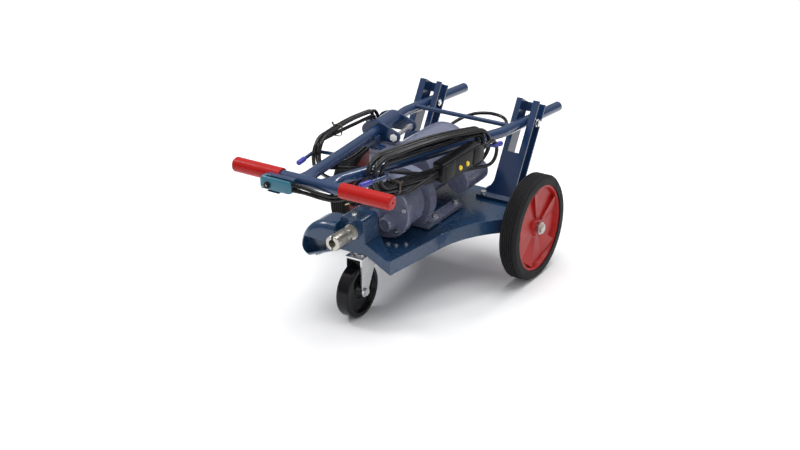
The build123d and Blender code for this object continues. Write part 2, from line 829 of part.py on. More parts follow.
def gear_cover():
    """Front cover with the output boss and the capped idler boss."""
    outer = cover_dia / 2
    points = [(cover_rear, 0), (cover_rear, outer), (cover_front - 3, outer), (cover_front, outer - 3)]
    cover = turned(points + [(cover_front, 0)], (0, *unit_axis), FORWARD)
    cover += along_x(cover_front - 1, cover_front + output_boss_length, output_axis, output_boss_dia / 2)
    cap_end = cover_front + cap_boss_length
    half = cap_boss_dia / 2
    points = [(cover_front - 1, 0), (cover_front - 1, half + 2), (cap_end - 3, half), (cap_end, half - 3)]
    points += [(cap_end, half - 6), (cap_end - 3, half - 6), (cap_end - 3, 0)]
    cover += turned(points, (0, cap_boss_y, cap_boss_z), FORWARD)
    cover -= along_x(cover_rear - 1, cover_front + output_boss_length + 1, output_axis, shaft_r + 1)
    seal_seat = cover_front + output_boss_length - 6
    cover -= along_x(seal_seat, cover_front + output_boss_length + 1, output_axis, shaft_r + 5)
    for place in screw_places():
        cover -= along_x(cover_front - 8, cover_front + 1, place, screw_size / 2 + bolt_clearance)
    return cover


def cover_screw(place):
    """Cap screw with a hexagon socket, seated on the cover."""
    head_end = cover_front + screw_size
    screw = along_x(cover_front - 8, cover_front, place, screw_size / 2)
    screw += along_x(cover_front, head_end, place, screw_dia / 2)
    return screw - hexagon((head_end - 2.5, *place), FORWARD, screw_size * 0.8, 3)


nodes["gear_case"] = gear_case()
nodes["gear_housing"] = gear_housing()
nodes["gear_cover"] = gear_cover()
nodes["cover_screws"] = Part() + [cover_screw(place) for place in screw_places()]
seal_front = cover_front + output_boss_length
seal_bore = shaft_r + running_fit
nodes["output_seal"] = ring_x(seal_front - 6, seal_front - 0.5, output_axis, shaft_r + 5, seal_bore)

# Output shaft, gear and coupling
journal_start = case_rear + 4
journal_end = journal_start + bearing_width + 1
shaft = along_x(journal_end, front_face + boss_proud, output_axis, shaft_r)
shaft += along_x(journal_start, journal_end, output_axis, rear_journal)
socket_start = coupling_end - socket_depth
nose_end = socket_start - 6
shaft += along_x(front_face + boss_proud, nose_end, output_axis, nose_dia / 2)
nodes["output_shaft"] = shaft
output_gear = gear_solid(wheel_teeth, mesh_angle, output_axis, gear_rear, gear_front)
nodes["output_gear"] = output_gear - along_x(gear_rear - 1, gear_front + 1, output_axis, shaft_r)


def drive_coupling():
    """Sleeve on the shaft's nose with a slotted socket for the cable."""
    start = front_face + boss_proud + body_gap
    outer = coupling_dia / 2
    neck = neck_dia / 2
    points = [(start, 0), (start, outer), (start + 2.5, outer), (start + 2.5, neck), (coupling_start, neck)]
    points += [(coupling_start + 3, outer), (coupling_start + 13, outer), (coupling_start + 13, outer - 2)]
    points += [(coupling_start + 16, outer - 2), (coupling_start + 16, outer), (coupling_end - 15, outer)]
    points += [(coupling_end - 15, outer - 1.5), (coupling_end - coupling_slot_depth, outer - 1.5)]
    points += [(coupling_end - coupling_slot_depth, outer + 0.5), (coupling_end - 2, outer + 0.5)]
    points += [(coupling_end, outer - 1), (coupling_end, 0)]
    sleeve = turned(points, (0, *output_axis), FORWARD)
    sleeve -= along_x(start - 1, nose_end, output_axis, nose_dia / 2)
    sleeve -= along_x(socket_start, coupling_end + 1, output_axis, socket_dia / 2)
    half_slot = coupling_slot / 2
    slot_start = coupling_end - coupling_slot_depth
    reach = outer + 2
    sleeve -= block(slot_start, coupling_end + 1, -half_slot, half_slot, shaft_z - reach, shaft_z + reach)
    flat_end = coupling_end - 15
    for side in (1, -1):
        near = side * coupling_flat / 2
        far = side * reach
        low, high = sorted((near, far))
        sleeve -= block(coupling_start + 16, flat_end, low, high, shaft_z - 20, shaft_z + 20)
    return sleeve


nodes["drive_coupling"] = drive_coupling()


# Motor
def motor_housing():
    """Rolled shell with a front wall, a bearing seat and the saddle for the can."""
    outer = motor_dia / 2
    inner = outer - motor_wall
    wall = case_rear - 5
    housing = along_x(motor_rear, case_rear, motor_axis, outer)
    line = Plane(origin=(0, *motor_axis), x_dir=(0, can_y - motor_y, can_z - motor_z), z_dir=FORWARD)
    saddle = extrude(Pos(outer, 0) * Rectangle(40, 34), 40)
    housing += Pos(can_rear + 30, 0, 0) * (line * saddle)
    housing -= along_x(can_rear - 5, can_front + 5, (can_y, can_z), can_dia / 2)
    housing -= along_x(motor_rear - 1, wall, motor_axis, inner)
    housing += along_x(wall - bearing_width - 2, wall + 1, motor_axis, bearing_out + 4)
    housing -= along_x(wall - bearing_width - 3, wall, motor_axis, bearing_out)
    return housing - along_x(wall - 1, case_rear + 1, motor_axis, rotor_shaft_dia / 2 + 1)


def motor_end_bell():
    """Rounded rear bell with a bearing boss and cooling slots."""
    outer = motor_dia / 2
    wall = motor_wall
    seat = bell_rear + wall
    points = [(motor_rear, outer), (bell_rear + 16, outer - 1), (bell_rear + 6, outer - 6)]
    points += [(bell_rear, outer - 18), (bell_rear, 0), (seat, 0), (seat, outer - 18)]
    points += [(bell_rear + 9, outer - 10), (bell_rear + 17, outer - 5), (motor_rear, outer - wall)]
    bell = turned(points, (0, *motor_axis), FORWARD)
    bell += ring_x(seat - 1, seat + bearing_width, motor_axis, bearing_out + 4, bearing_out)
    slot = Plane(origin=(bell_rear - 1, *motor_axis), x_dir=(0, 1, 0), z_dir=(1, 0, 0))
    for index in range(vent_count):
        turn = Rot(0, 0, 360 / vent_count * index)
        bell -= slot * (turn * Pos(38, 0) * extrude(SlotOverall(22, 6), wall + 2))
    gland = (cable_gland_y, cable_gland_z)
    bell += along_x(bell_rear - 8, bell_rear + 1, gland, cord_r + 4)
    return bell - along_x(bell_rear - 9, bell_rear + wall + 1, gland, cord_r)


def stator():
    """Laminated ring with the winding ends that stand out of it."""
    outer = motor_dia / 2 - motor_wall
    inner = rotor_dia / 2 + air_gap
    core = ring_x(stack_rear, stack_front, motor_axis, outer, inner)
    front = ring_x(stack_front, stack_front + winding_reach, motor_axis, outer - 8, inner + 4)
    rear = ring_x(stack_rear - winding_reach, stack_rear, motor_axis, outer - 8, inner + 4)
    return core + front + rear


def cooling_fan():
    """Back plate with straight radial blades."""
    start = motor_rear - 8
    radius = rotor_shaft_dia / 2
    fan = along_x(start, start + 2.5, motor_axis, fan_dia / 2)
    fan += along_x(start - 6, start + 10, motor_axis, radius + 7)
    blade_plane = Plane(origin=(start, *motor_axis), x_dir=(0, 1, 0), z_dir=(1, 0, 0))
    blade = extrude(Pos(fan_dia / 4 + 5, 0) * Rectangle(fan_dia / 2 - 12, 2.5), 12)
    for index in range(fan_blades):
        fan += blade_plane * (Rot(0, 0, 360 / fan_blades * index) * blade)
    return fan - along_x(start - 7, start + 20, motor_axis, radius)


def capacitor_can():
    """Drawn can with a flat front and a rounded rear end."""
    outer = can_dia / 2
    points = [(can_rear, 0), (can_rear, outer - 9), (can_rear + 3, outer - 3), (can_rear + 9, outer)]
    points += [(can_front - 2, outer), (can_front, outer - 2), (can_front, 0), (can_front - can_wall, 0)]
    points += [(can_front - can_wall, outer - can_wall), (can_rear + 9, outer - can_wall)]
    points += [(can_rear + 4, outer - 6), (can_rear + can_wall, outer - 11), (can_rear + can_wall, 0)]
    return turned(points, (0, can_y, can_z), FORWARD)


def terminal_box():
    """Wiring box with a lid line, seated on the motor shell."""
    shape = block(box_rear, box_front, box_far, box_near, box_bottom, box_top)
    shape = fillet(shape.edges().filter_by(Axis.Z), 6)
    shape -= along_x(box_rear - 1, case_rear, motor_axis, motor_dia / 2)
    plane = Plane(origin=(case_rear, 0, 0), x_dir=(0, 1, 0), z_dir=(1, 0, 0))
    shape -= plane * extrude(case_outline(2.5 + case_wall), box_front - case_rear + 1)
    lid = box_top - 9
    outer = block(box_rear - 1, box_front + 1, box_far - 1, box_near + 1, lid, lid + 1.5)
    inner = block(box_rear + 1, box_front - 1, box_far + 1, box_near - 1, lid, lid + 1.5)
    return shape - (outer - inner)


nodes["motor_housing"] = motor_housing()
nodes["motor_end_bell"] = motor_end_bell()
nodes["stator"] = stator()
nodes["rotor_core"] = ring_x(stack_rear, stack_front, motor_axis, rotor_dia / 2, rotor_shaft_dia / 2)
rotor_start = bell_rear + motor_wall + 1
rotor = along_x(rotor_start, gear_front + 2, motor_axis, rotor_shaft_dia / 2)
pinion_angle = mesh_angle + pi + pi / pinion_teeth
rotor += gear_solid(pinion_teeth, pinion_angle, motor_axis, gear_rear - 2, gear_front + 2)
nodes["rotor_shaft"] = rotor
nodes["cooling_fan"] = cooling_fan()
nodes["capacitor_can"] = capacitor_can()
nodes["terminal_box"] = terminal_box()
rotor_bore = rotor_shaft_dia / 2 + running_fit
bearing_seats = (
    (case_rear - 5 - bearing_width, motor_axis, rotor_bore),
    (bell_rear + motor_wall, motor_axis, rotor_bore),
    (journal_start, output_axis, rear_journal + running_fit),
)
bearings = [ring_x(x, x + bearing_width, axis, bearing_out, bore) for x, axis, bore in bearing_seats]
nodes["shaft_bearings"] = Part() + bearings

# Folding handle, drawn flat: forward from the pivot, left, up
slope = radians(handle_slope)
handle_plane = Plane(
    origin=(pivot_x, 0, pivot_z),
    x_dir=(cos(slope), 0, sin(slope)),
    z_dir=(-sin(slope), 0, cos(slope)),
)
tube_end = bar_at - flat_length
splay = atan2(upright_y - bar_tube_half, bar_at - bend_at)
left_line = Vector(cos(splay), -sin(splay), 0)


def tube_half(along):
    """Distance of a tube's axis from the middle at a station in front of the bend."""
    return upright_y - (along - bend_at) * tan(splay)


def left_frame(along, rise):
    """Frame on the left tube: along it, outwards and up, at a station in front of the bend."""
    flat = Plane(origin=(along, tube_half(along), rise), x_dir=left_line, z_dir=UP)
    return Plane(handle_plane.location * flat.location)


def handle_tube():
    """Left tube: straight stub, one bend and a flattened end coped to the crossbar."""
    end = (tube_end, tube_half(tube_end), 0)
    path = FilletPolyline((-stub_length, upright_y, 0), (bend_at, upright_y, 0), end, radius=bend_radius)
    start = Plane(origin=(-stub_length, upright_y, 0), z_dir=FORWARD)
    outer = sweep(start * Circle(tube_r), path=path)
    inner = sweep(start * Circle(tube_r - tube_wall), path=path)
    round_end = Plane(origin=end, x_dir=Vector(sin(splay), cos(splay), 0), z_dir=left_line)
    flat_end = Plane(origin=(bar_at, bar_tube_half, 0), x_dir=LEFT, z_dir=FORWARD)
    flat = flat_end * RectangleRounded(flat_width, flat_height, flat_height / 2 - 0.5)
    tube = (outer - inner) + loft([round_end * Circle(tube_r), flat])
    tube += rod((-stub_length, upright_y, 0), (tube_wall - stub_length, upright_y, 0), tube_r)
    tube -= rod((bar_at, -bar_half, 0), (bar_at, bar_half, 0), tube_r)
    pivot_hole = pivot_bolt_dia / 2 + running_fit
    return tube - rod((0, upright_y - 40, 0), (0, upright_y + 40, 0), pivot_hole)


left_tube_flat = handle_tube()
right_tube_flat = mirrored(left_tube_flat)
tube_core = rod((-stub_length, upright_y, 0), (bend_at, upright_y, 0), tube_r)
nodes["handle_tube_left"] = handle_plane * left_tube_flat
nodes["handle_tube_right"] = handle_plane * right_tube_flat
bar = rod((bar_at, -bar_half, 0), (bar_at, bar_half, 0), tube_r)
bar -= rod((bar_at, -bar_half, 0), (bar_at, bar_half, 0), tube_r - tube_wall)
nodes["handle_crossbar"] = handle_plane * bar
cross_end = Vector(cross_rod_at, upright_y, cross_rod_rise)
cross = rod((cross_rod_at, -upright_y, cross_rod_rise), cross_end, cross_rod_dia / 2)
cross_rod = cross - tube_core - mirrored(tube_core)


def grip():
    """Left grip: a sleeve with a rounded, vented end."""
    end = bar_half + grip_end_wall
    outer = grip_dia / 2
    points = [(grip_start, tube_r), (grip_start, outer - 1), (grip_start + 1, outer), (end - 4, outer)]
    vent = grip_vent_dia / 2
    points += [(end - 1, outer - 2), (end, outer - 5), (end, vent), (bar_half, vent), (bar_half, tube_r)]
    return turned(points, (bar_at, 0, 0), LEFT)


nodes["left_grip"] = handle_plane * grip()
nodes["right_grip"] = handle_plane * mirrored(grip())

# Cord hooks, drawn in a tube frame: along, outwards, up
left_hank_frame = left_frame(left_hank_at, left_hank_rise)
right_hank_flat = left_frame(right_hank_at, right_hank_rise)
left_hook_out = left_hank_offset + left_hank_layers * cord_pitch + 2
right_hook_out = right_hank_offset + right_hank_layers * cord_pitch + 2


def hook_rod(along, hook_out, reach, rise):
    """Bent rod from the tube out past the hank, then along it; and its dipped tip."""
    start = Vector(along, tube_r - 3, rise)
    corner = Vector(along, hook_out, rise)
    end = Vector(along + reach, hook_out, rise - hook_dip)
    path = FilletPolyline(start, corner, end, radius=hook_bend)
    bar = swept(path.edges(), hook_dia / 2)
    side = (end - corner).normalized()
    tip_start = end - side * (tip_length - 6)
    points = [(0, hook_dia / 2), (0, tip_dia / 2 - 1), (3, tip_dia / 2), (tip_length - 4, tip_dia / 2)]
    points += [(tip_length - 1, tip_dia / 2 - 2), (tip_length, tip_dia / 2 - 5), (tip_length, 0)]
    points += [(tip_length - 6, 0), (tip_length - 6, hook_dia / 2)]
    plane = Plane(origin=tip_start, x_dir=side, z_dir=side.cross(UP))
    tip = revolve(plane * make_face(Polyline(*points, close=True)), Axis(tip_start, side))
    return bar, tip


tube_line = rod((-left_hank_length, 0, 0), (left_hank_length, 0, 0), tube_r)
hook_bars = []
hook_tips = []
hook_sides = (
    (left_hank_frame, left_hank_length, left_hank_rise, left_hook_out, left_hook_rise, 1),
    (right_hank_flat, right_hank_length, right_hank_rise, right_hook_out, right_hook_rise, -1),
)
for frame, length, rise_offset, hook_out, rises, hand in hook_sides:
    core = Pos(0, 0, -rise_offset) * tube_line
    hook_at = length / 2 + 9
    ends = ((hook_at, hook_front_reach), (-hook_at, -hook_rear_reach))
    for (along, reach), rise in zip(ends, rises):
        bar_shape, tip_shape = hook_rod(along, hook_out, reach, rise)
        placed = frame * (bar_shape - core)
        hook_bars.append(placed if hand > 0 else mirrored(placed))
        placed_tip = frame * tip_shape
        hook_tips.append(placed_tip if hand > 0 else mirrored(placed_tip))
nodes["handle_rods"] = Part() + (hook_bars + [handle_plane * cross_rod])
nodes["hook_tips"] = Part() + hook_tips

# Clamp on the right tube, drawn on the left and mirrored: along, outwards, up
clamp_frame = left_frame(clamp_at, 0)


def handle_clamp():
    """Arched saddle over the tube with an end plate at each end for the stay bolt."""
    half = clamp_length / 2
    outer = clamp_arch_dia / 2
    saddle = rod((-half, 0, 0), (half, 0, 0), outer) - rod((-half, 0, 0), (half, 0, 0), outer - clamp_wall)
    saddle -= block(-half, half, -outer, outer, -outer, 2)
    plate_plane = Plane(origin=(-half, 0, 0), x_dir=(0, 1, 0), z_dir=(1, 0, 0))
    side = clamp_bolt_side
    drop = clamp_bolt_drop
    round_tube = Pos(0, 4) * Circle(clamp_plate_dia / 2)
    round_bolt = Pos(-side, -drop) * Circle(clamp_lug_dia / 2)
    outline = make_hull(round_tube.edges() + round_bolt.edges())
    plate = plate_plane * extrude(outline, clamp_plate)
    far_plate = Pos(clamp_length - clamp_plate, 0, 0) * plate
    window = Pos(-side * 0.55, 6) * Circle(6)
    far_plate -= plate_plane * (Pos(0, 0, clamp_length - clamp_plate - 1) * extrude(window, clamp_plate + 2))
    clamp = saddle + plate + far_plate
    clamp -= block(-half - 1, half + 1, -tube_r, tube_r, -60, 0)
    clamp -= rod((-half - 1, 0, 0), (half + 1, 0, 0), tube_r)
    return clamp - rod((-half - 1, -side, -drop), (half + 1, -side, -drop), clamp_bolt_dia / 2)


def clamp_bolt():
    """Long stay bolt between the clamp's end plates."""
    half = clamp_length / 2
    radius = clamp_bolt_dia / 2
    head = clamp_bolt_dia * 0.6
    side = -clamp_bolt_side
    drop = -clamp_bolt_drop
    bolt = rod((-half - head, side, drop), (half + head, side, drop), radius)
    bolt += hexagon((half, side, drop), FORWARD, clamp_bolt_dia * 1.7, head)
    bolt += hexagon((-half - head, side, drop), FORWARD, clamp_bolt_dia * 1.7, head)
    spacer_start = clamp_plate - half
    return bolt + rod((spacer_start, side, drop), (spacer_start + clamp_spacer, side, drop), radius + 4)


nodes["handle_clamp"] = mirrored(clamp_frame * handle_clamp())
nodes["clamp_bolts"] = mirrored(clamp_frame * clamp_bolt())


def handle_rest():
    """Cradle on the wiring box that carries the folded handle under its right tube."""
    tube_at = left_frame(rest_at, 0)
    middle = -tube_at.origin.Y
    half = tube_r + 5
    back = tube_at.origin.X - rest_width / 2
    front = tube_at.origin.X + rest_width / 2
    base = block(back, front, middle - half, box_near - 26, box_top, box_top + sheet)
    post = block(back, front, middle - half, middle + half, box_top, tube_at.origin.Z - 2)
    tube_space = mirrored(tube_at * rod((-80, 0, 0), (80, 0, 0), tube_r + body_gap))
    return base + (post - tube_space)


nodes["handle_rest"] = handle_rest()

# Switch box in front of the crossbar
bar_centre = handle_plane.from_local_coords(Vector(bar_at, 0, 0))
switch_rear = bar_centre.X + grip_dia / 2 + body_gap
switch_front = switch_rear + switch_depth
flap_under = bar_centre.Z + grip_dia / 2 + body_gap
switch_top = flap_under - flap_drop
switch_bottom = switch_top - switch_height
switch_mid = (switch_bottom + switch_top) / 2
switch_lead_z = switch_mid + lead_spacing / 2
motor_lead_z = switch_mid - lead_spacing / 2
toggle_pivot = switch_front + bushing_length * 0.5


def switch_box():
    """Rounded cast box with the toggle's bushing and a cable boss at its near end."""
    shape = block(switch_rear, switch_front, switch_far, switch_near, switch_bottom, switch_top)
    shape = fillet(shape.edges().filter_by(Axis.X), switch_round)
    shape = fillet(shape.faces().sort_by(Axis.X)[-1].edges(), 3)
    bushing_end = switch_front + bushing_length
    toggle_axis = (toggle_y, switch_mid)
    shape += along_x(switch_front - 1, bushing_end, toggle_axis, bushing_dia / 2)
    shape -= along_x(switch_front - 9, bushing_end + 1, toggle_axis, toggle_well / 2)
    middle = (switch_rear + switch_front) / 2
    for z in (switch_lead_z, motor_lead_z):
        shape += rod((middle, switch_near - 1, z), (middle, switch_near + boss_reach, z), cord_r + 2.5)
    for z in (switch_lead_z, motor_lead_z):
        shape -= rod((middle, switch_near - 4, z), (middle, switch_near + boss_reach + 1, z), cord_r)
    return shape


def switch_bracket():
    """Bent strap behind the crossbar with a tab over and under the box."""
    back = bar_centre.X - grip_dia / 2 - body_gap
    bottom = switch_bottom - body_gap
    far = switch_far + 17
    flap_top = flap_under + bracket_sheet
    lip = switch_front - 6
    near = switch_near - 5
    strap = block(back - bracket_sheet, back, far, bracket_strap_near, bottom - bracket_sheet, flap_top)
    strap += block(back - bracket_sheet, lip, far, near, flap_under, flap_top)
    strap += block(lip - bracket_sheet, lip, far, near, switch_top + body_gap, flap_under + 1)
    tab = (far + 14, bracket_strap_near - 4)
    return strap + block(back - bracket_sheet, switch_front - 2, *tab, bottom - bracket_sheet, bottom)


def switch_toggle():
    """Bat lever with the ball that turns in the bushing."""
    tip = toggle_pivot + toggle_length
    radius = toggle_dia / 2
    neck = radius * 0.8
    ball = toggle_well / 2 - running_fit
    reach = sqrt(ball**2 - neck**2)
    ball_line = ThreePointArc((toggle_pivot - ball, 0), (toggle_pivot, ball), (toggle_pivot + reach, neck))
    lever = Polyline(
        (toggle_pivot + reach, neck),
        (tip - 3, radius),
        (tip - 1, radius * 0.9),
        (tip, radius * 0.4),
        (tip, 0),
        (toggle_pivot - ball, 0),
    )
    profile = make_face(ball_line.edges() + lever.edges())
    plane = Plane(origin=(0, toggle_y, switch_mid), x_dir=FORWARD, z_dir=FORWARD.cross(UP))
    return revolve(plane * profile, Axis((0, toggle_y, switch_mid), FORWARD))


nodes["switch_box"] = switch_box()
nodes["switch_bracket"] = switch_bracket()
nodes["switch_toggle"] = switch_toggle()


# Hanks: loops wound as flat spirals in layers, with each climb along a run
def hank_edges(half_turns, layers, offset, first_half, length, start_at):
    """One unbroken line of loops: (along, outwards, up) from a point on the first lower run."""
    per_layer = half_turns // layers
    step = cord_pitch / 2
    end = length / 2
    along = start_at
    edges = []
    half = first_half
    inward = True
    layer = 0
    heading = -1
    for run in range(half_turns):
        up = heading * half
        start = Vector(along, offset + layer * cord_pitch, up)
        climbs = run > 0 and run % per_layer == 0
        if climbs:
            layer += 1
            inward = not inward
        finish = Vector(heading * end, offset + layer * cord_pitch, up)
        if climbs:
            middle = (start + finish) * 0.5
            bow = Vector(0, cord_pitch / 8, 0)
            edges.append(ThreePointArc(start, (start + middle) * 0.5 - bow, middle).edges()[0])
            edges.append(ThreePointArc(middle, (middle + finish) * 0.5 + bow, finish).edges()[0])
        else:
            edges.append(Line(start, finish).edges()[0])
        next_half = half - step if inward else half + step
        radius = (half + next_half) / 2
        far = Vector(finish.X + heading * radius, finish.Y, up - heading * radius)
        after = Vector(finish.X, finish.Y, -heading * next_half)
        edges.append(ThreePointArc(finish, far, after).edges()[0])
        half = next_half
        along = finish.X
        heading = -heading
    return edges


def least_gap(edges):
    """Smallest clear distance between parts of one cord that are not neighbours."""
    points = []
    travelled = 0.0
    for edge in edges:
        count = max(2, ceil(edge.length / 5))
        for index in range(count):
            points.append((travelled + edge.length * index / count, edge @ (index / count)))
        travelled += edge.length
    least = travelled**2
    for first, (here_at, here) in enumerate(points):
        for there_at, there in points[first + 1:]:
            if there_at - here_at > 6 * cord_dia:
                apart = (here.X - there.X) ** 2 + (here.Y - there.Y) ** 2 + (here.Z - there.Z) ** 2
                least = min(least, apart)
    return sqrt(least) - cord_dia


left_end = left_hank_length / 2
right_end = right_hank_length / 2
left_outer = left_hank_offset + (left_hank_layers - 1) * cord_pitch
right_outer = right_hank_offset + (right_hank_layers - 1) * cord_pitch
breaker_out = left_outer + cord_r + body_gap + breaker_thick / 2
breaker_place = Pos(breaker_shift, breaker_out, breaker_rise) * Rot(0, breaker_tilt, 0)


def breaker_point(along):
    """A point on the breaker's long axis, in the left hank's frame."""
    return (breaker_place * Pos(along, 0, 0)).position


# Left hank, from the crossover lead's end to the breaker's rear
breaker_reach = breaker_length / 2 + relief_length
left_loops = hank_edges(
    left_half_turns, left_hank_layers, left_hank_offset, left_hank_half, left_hank_length, left_start_at
)
left_tail_points = [
    Vector(left_end, left_outer, -left_hank_half),
    Vector(-72, left_outer, -left_hank_half),
    Vector(-150, breaker_out - 1, -left_hank_half),
    Vector(-196, breaker_out + 2.5, -left_hank_half),
    Vector(-213, breaker_out + 2.5, -21.4),
    Vector(-210.5, breaker_out + 2.5, 4.2),
    Vector(-189.8, breaker_out + 1.5, 19.5),
    breaker_point(-breaker_reach),
]
left_tail = cord_edges(left_tail_points)
left_edges = left_loops + list(left_tail)
left_hank = swept(left_edges, cord_r)
report_cord("left hank", left_hank, left_edges, route_radii(left_tail_points))
print(f"left hank least gap {least_gap(left_edges):.2f}")
nodes["cord_hank_left"] = left_hank_frame * left_hank

# Breaker box in the cord, with two buttons on its outer face


def breaker_body():
    """Rounded box with a tapered relief at each end and a pocket for each button."""
    box = Box(breaker_length, breaker_thick, breaker_height)
    box = fillet(box.edges(), 5)
    end = breaker_length / 2
    tail = end + relief_length
    points = [(end - 1, 0), (end - 1, relief_dia / 2), (tail, cord_r + 1.2), (tail, 0)]
    relief = turned(points, (0, 0, 0), FORWARD)
    box += relief + mirror(relief, about=Plane.YZ)
    face = breaker_thick / 2
    for along, up in button_places.values():
        depth = button_seat + button_travel
        half_width = button_width / 2 + body_gap
        half_height = button_height / 2 + body_gap
        box -= block(along - half_width, along + half_width, face - depth, face + 1,
                     up - half_height, up + half_height)
    return box


def breaker_button(along, up):
    """Push button standing a little proud of the breaker's face."""
    face = breaker_thick / 2
    cap = block(along - button_width / 2, along + button_width / 2, face - button_seat + body_gap,
                face + button_proud, up - button_height / 2, up + button_height / 2)
    return fillet(cap.faces().sort_by(Axis.Y)[-1].edges(), 1)


breaker_frame = Plane(left_hank_frame.location * breaker_place)
nodes["breaker_body"] = breaker_frame * breaker_body()
for button_name, (button_along, button_up) in button_places.items():
    nodes[button_name] = breaker_frame * breaker_button(button_along, button_up)


# Right hank, drawn on the left, tilted and mirrored
right_place = Plane(right_hank_flat.location * Rot(0, -right_hank_tilt, 0))
right_edges = hank_edges(
    right_half_turns, right_hank_layers, right_hank_offset, right_hank_half, right_hank_length, right_start_at
)
right_hank = swept(right_edges, cord_r)
report_cord("right hank", right_hank, right_edges, [right_hank_half - 2.5 * cord_pitch / 2])
print(f"right hank least gap {least_gap(right_edges):.2f}")
nodes["cord_hank_right"] = mirrored(right_place * right_hank)


def left_point(along, out, up):
    """A point of the left hank's frame, in the machine's frame."""
    return left_hank_frame.from_local_coords(Vector(along, out, up))


def right_point(along, out, up):
    """A point of the right hank's frame, in the machine's frame."""
    left = right_place.from_local_coords(Vector(along, out, up))
    return Vector(left.X, -left.Y, left.Z)


def cord_lead(name, points):
    """A stretch of cord along hand-chosen points, in the machine's frame."""
    points = [Vector(*point) for point in points]
    edges = cord_edges(points)
    lead = swept(edges, cord_r)
    report_cord(name, lead, edges, route_radii(points))
    return lead


# Lead from the switch box, under the crossbar and across to the right hank
switch_mid_x = (switch_rear + switch_front) / 2
nodes["switch_lead"] = cord_lead("switch lead", [
    (switch_mid_x, switch_near + boss_reach, switch_lead_z),
    (switch_mid_x, 9, 375),
    (switch_mid_x - 8, 36, 362),
    (switch_mid_x - 29, 55, 347),
    (522, 60, 342),
    (488, 46, 339),
    (462, 18, 337),
    (445, -22, 335.5),
    (426, -58, 334),
    right_point(right_end + 30, right_hank_offset, -right_hank_half),
    right_point(right_start_at, right_hank_offset, -right_hank_half),
])

# Lead from the switch box along the left tube to the pivot line, and on to the motor
nodes["motor_lead"] = cord_lead("motor lead", [
    (switch_mid_x, switch_near + boss_reach, motor_lead_z),
    (switch_mid_x, 9, motor_lead_z),
    (573, 34, 351),
    (551, 53, 338),
    (523, 59, 329),
    (493, 54, 326),
    (466, 42, 330),
    (437, 33, 340),
    (400, 36, 351),
    (310, 54, 348),
    (210, 73, 340.5),
    (110, 92, 332.5),
    (35, 104, 327),
    (-25, 107, 324.5),
    (-62, 104, 324),
    (-88, 100.5, pivot_z),
    (pivot_x + 36.6, 100, pivot_z),
    (pivot_x + 13.4, 86.6, pivot_z),
    (pivot_x, 63.4, pivot_z),
    (pivot_x, lead_gap_y, pivot_z),
])
nodes["motor_cable"] = cord_lead("motor cable", [
    (pivot_x, lead_gap_y - body_gap, pivot_z),
    (pivot_x, 4, pivot_z - 1),
    (-146, -25, 314),
    (-129, -46, 301),
    (-101, cable_gland_y, cable_gland_z),
    (bell_rear - 8, cable_gland_y, cable_gland_z),
])

# Lead that dives under the right hank and crosses below both tubes to the left hank
nodes["crossover_lead"] = cord_lead("crossover lead", [
    right_point(right_end, right_outer, -right_hank_half),
    right_point(112, right_outer, -right_hank_half),
    right_point(66, right_outer, -48.5),
    (266, -88.5, 303.5),
    (268.5, 74, 317),
    left_point(left_start_at + 38, left_hank_offset, -left_hank_half),
    left_point(left_start_at, left_hank_offset, -left_hank_half),
])

# Lead from the breaker's front, in under the left hank to the plug
plug_points = [
    left_point(*breaker_point(breaker_reach)),
    left_point(*breaker_point(breaker_reach + 34)),
    Vector(368, 122, 319),
    Vector(386, 96, 314.5),
    Vector(387, 64, 310),
    Vector(385, 34, 297),
]
nodes["plug_lead"] = cord_lead("plug lead", plug_points)
plug_top = plug_points[-1]
plug_line = (plug_points[-1] - plug_points[-2]).normalized()


def plug():
    """Moulded plug: a ribbed relief running into a round body."""
    radius = plug_dia / 2
    neck = cord_r + 1.5
    points = [(0, 0), (0, neck), (plug_relief * 0.8, neck + 2.5), (plug_relief + 6, radius - 2)]
    points += [(plug_relief + 10, radius), (plug_relief + plug_length - 2, radius)]
    points += [(plug_relief + plug_length, radius - 2), (plug_relief + plug_length, 0)]
    plane = Plane(origin=plug_top, x_dir=plug_line, z_dir=plug_line.cross(FORWARD))
    return revolve(plane * make_face(Polyline(*points, close=True)), Axis(plug_top, plug_line))


face_point = plug_top + plug_line * (plug_relief + plug_length)
blade_plane = Plane(origin=face_point, x_dir=FORWARD.cross(plug_line), z_dir=plug_line)
blades = []
for blade_side in (1, -1):
    blade = Pos(blade_side * blade_spacing / 2, 2) * Rectangle(blade_thick, blade_width)
    blades.append(blade_plane * extrude(blade, blade_length))
ground = Pos(0, 2 - 11.9) * Circle(2.4)
nodes["plug_body"] = plug()
nodes["plug_blades"] = Part() + (blades + [blade_plane * extrude(ground, blade_length + 2)])


# Ties round the hanks
def tie(first, last, low, high, along):
    """Flat band round the runs of a hank between two heights."""
    inner = body_gap
    outer = inner + 1.6
    half_in = first - cord_r
    half_out = last + cord_r
    back = along - tie_width / 2
    front = along + tie_width / 2
    band = block(back, front, half_in - outer, half_out + outer, low - outer, high + outer)
    return band - block(back - 1, front + 1, half_in - inner, half_out + inner, low - inner, high + inner)


left_low = -left_hank_half - cord_r
left_tie = tie(left_hank_offset, left_outer, left_low, left_low + cord_pitch + cord_dia, 136)
right_high = right_hank_half - cord_pitch / 2 + cord_r
right_tie = tie(right_hank_offset, right_outer, right_high - cord_pitch - cord_dia, right_high, 60)
nodes["cord_ties"] = Part() + [left_hank_frame * left_tie, mirrored(right_place * right_tie)]

# Move to the middle of the footprint and write the files
front_reach = toggle_pivot + toggle_length
rear_reach = pivot_x - stub_length * cos(slope) - tube_r * sin(slope)
centre = Pos(-(front_reach + rear_reach) / 2, 0, 0)
print(f"drawing frame moved by {-(front_reach + rear_reach) / 2:.3f} along X, {len(nodes)} nodes")
for name, shape in nodes.items():
    export_step(centre * shape, f"parts/{name}.step")
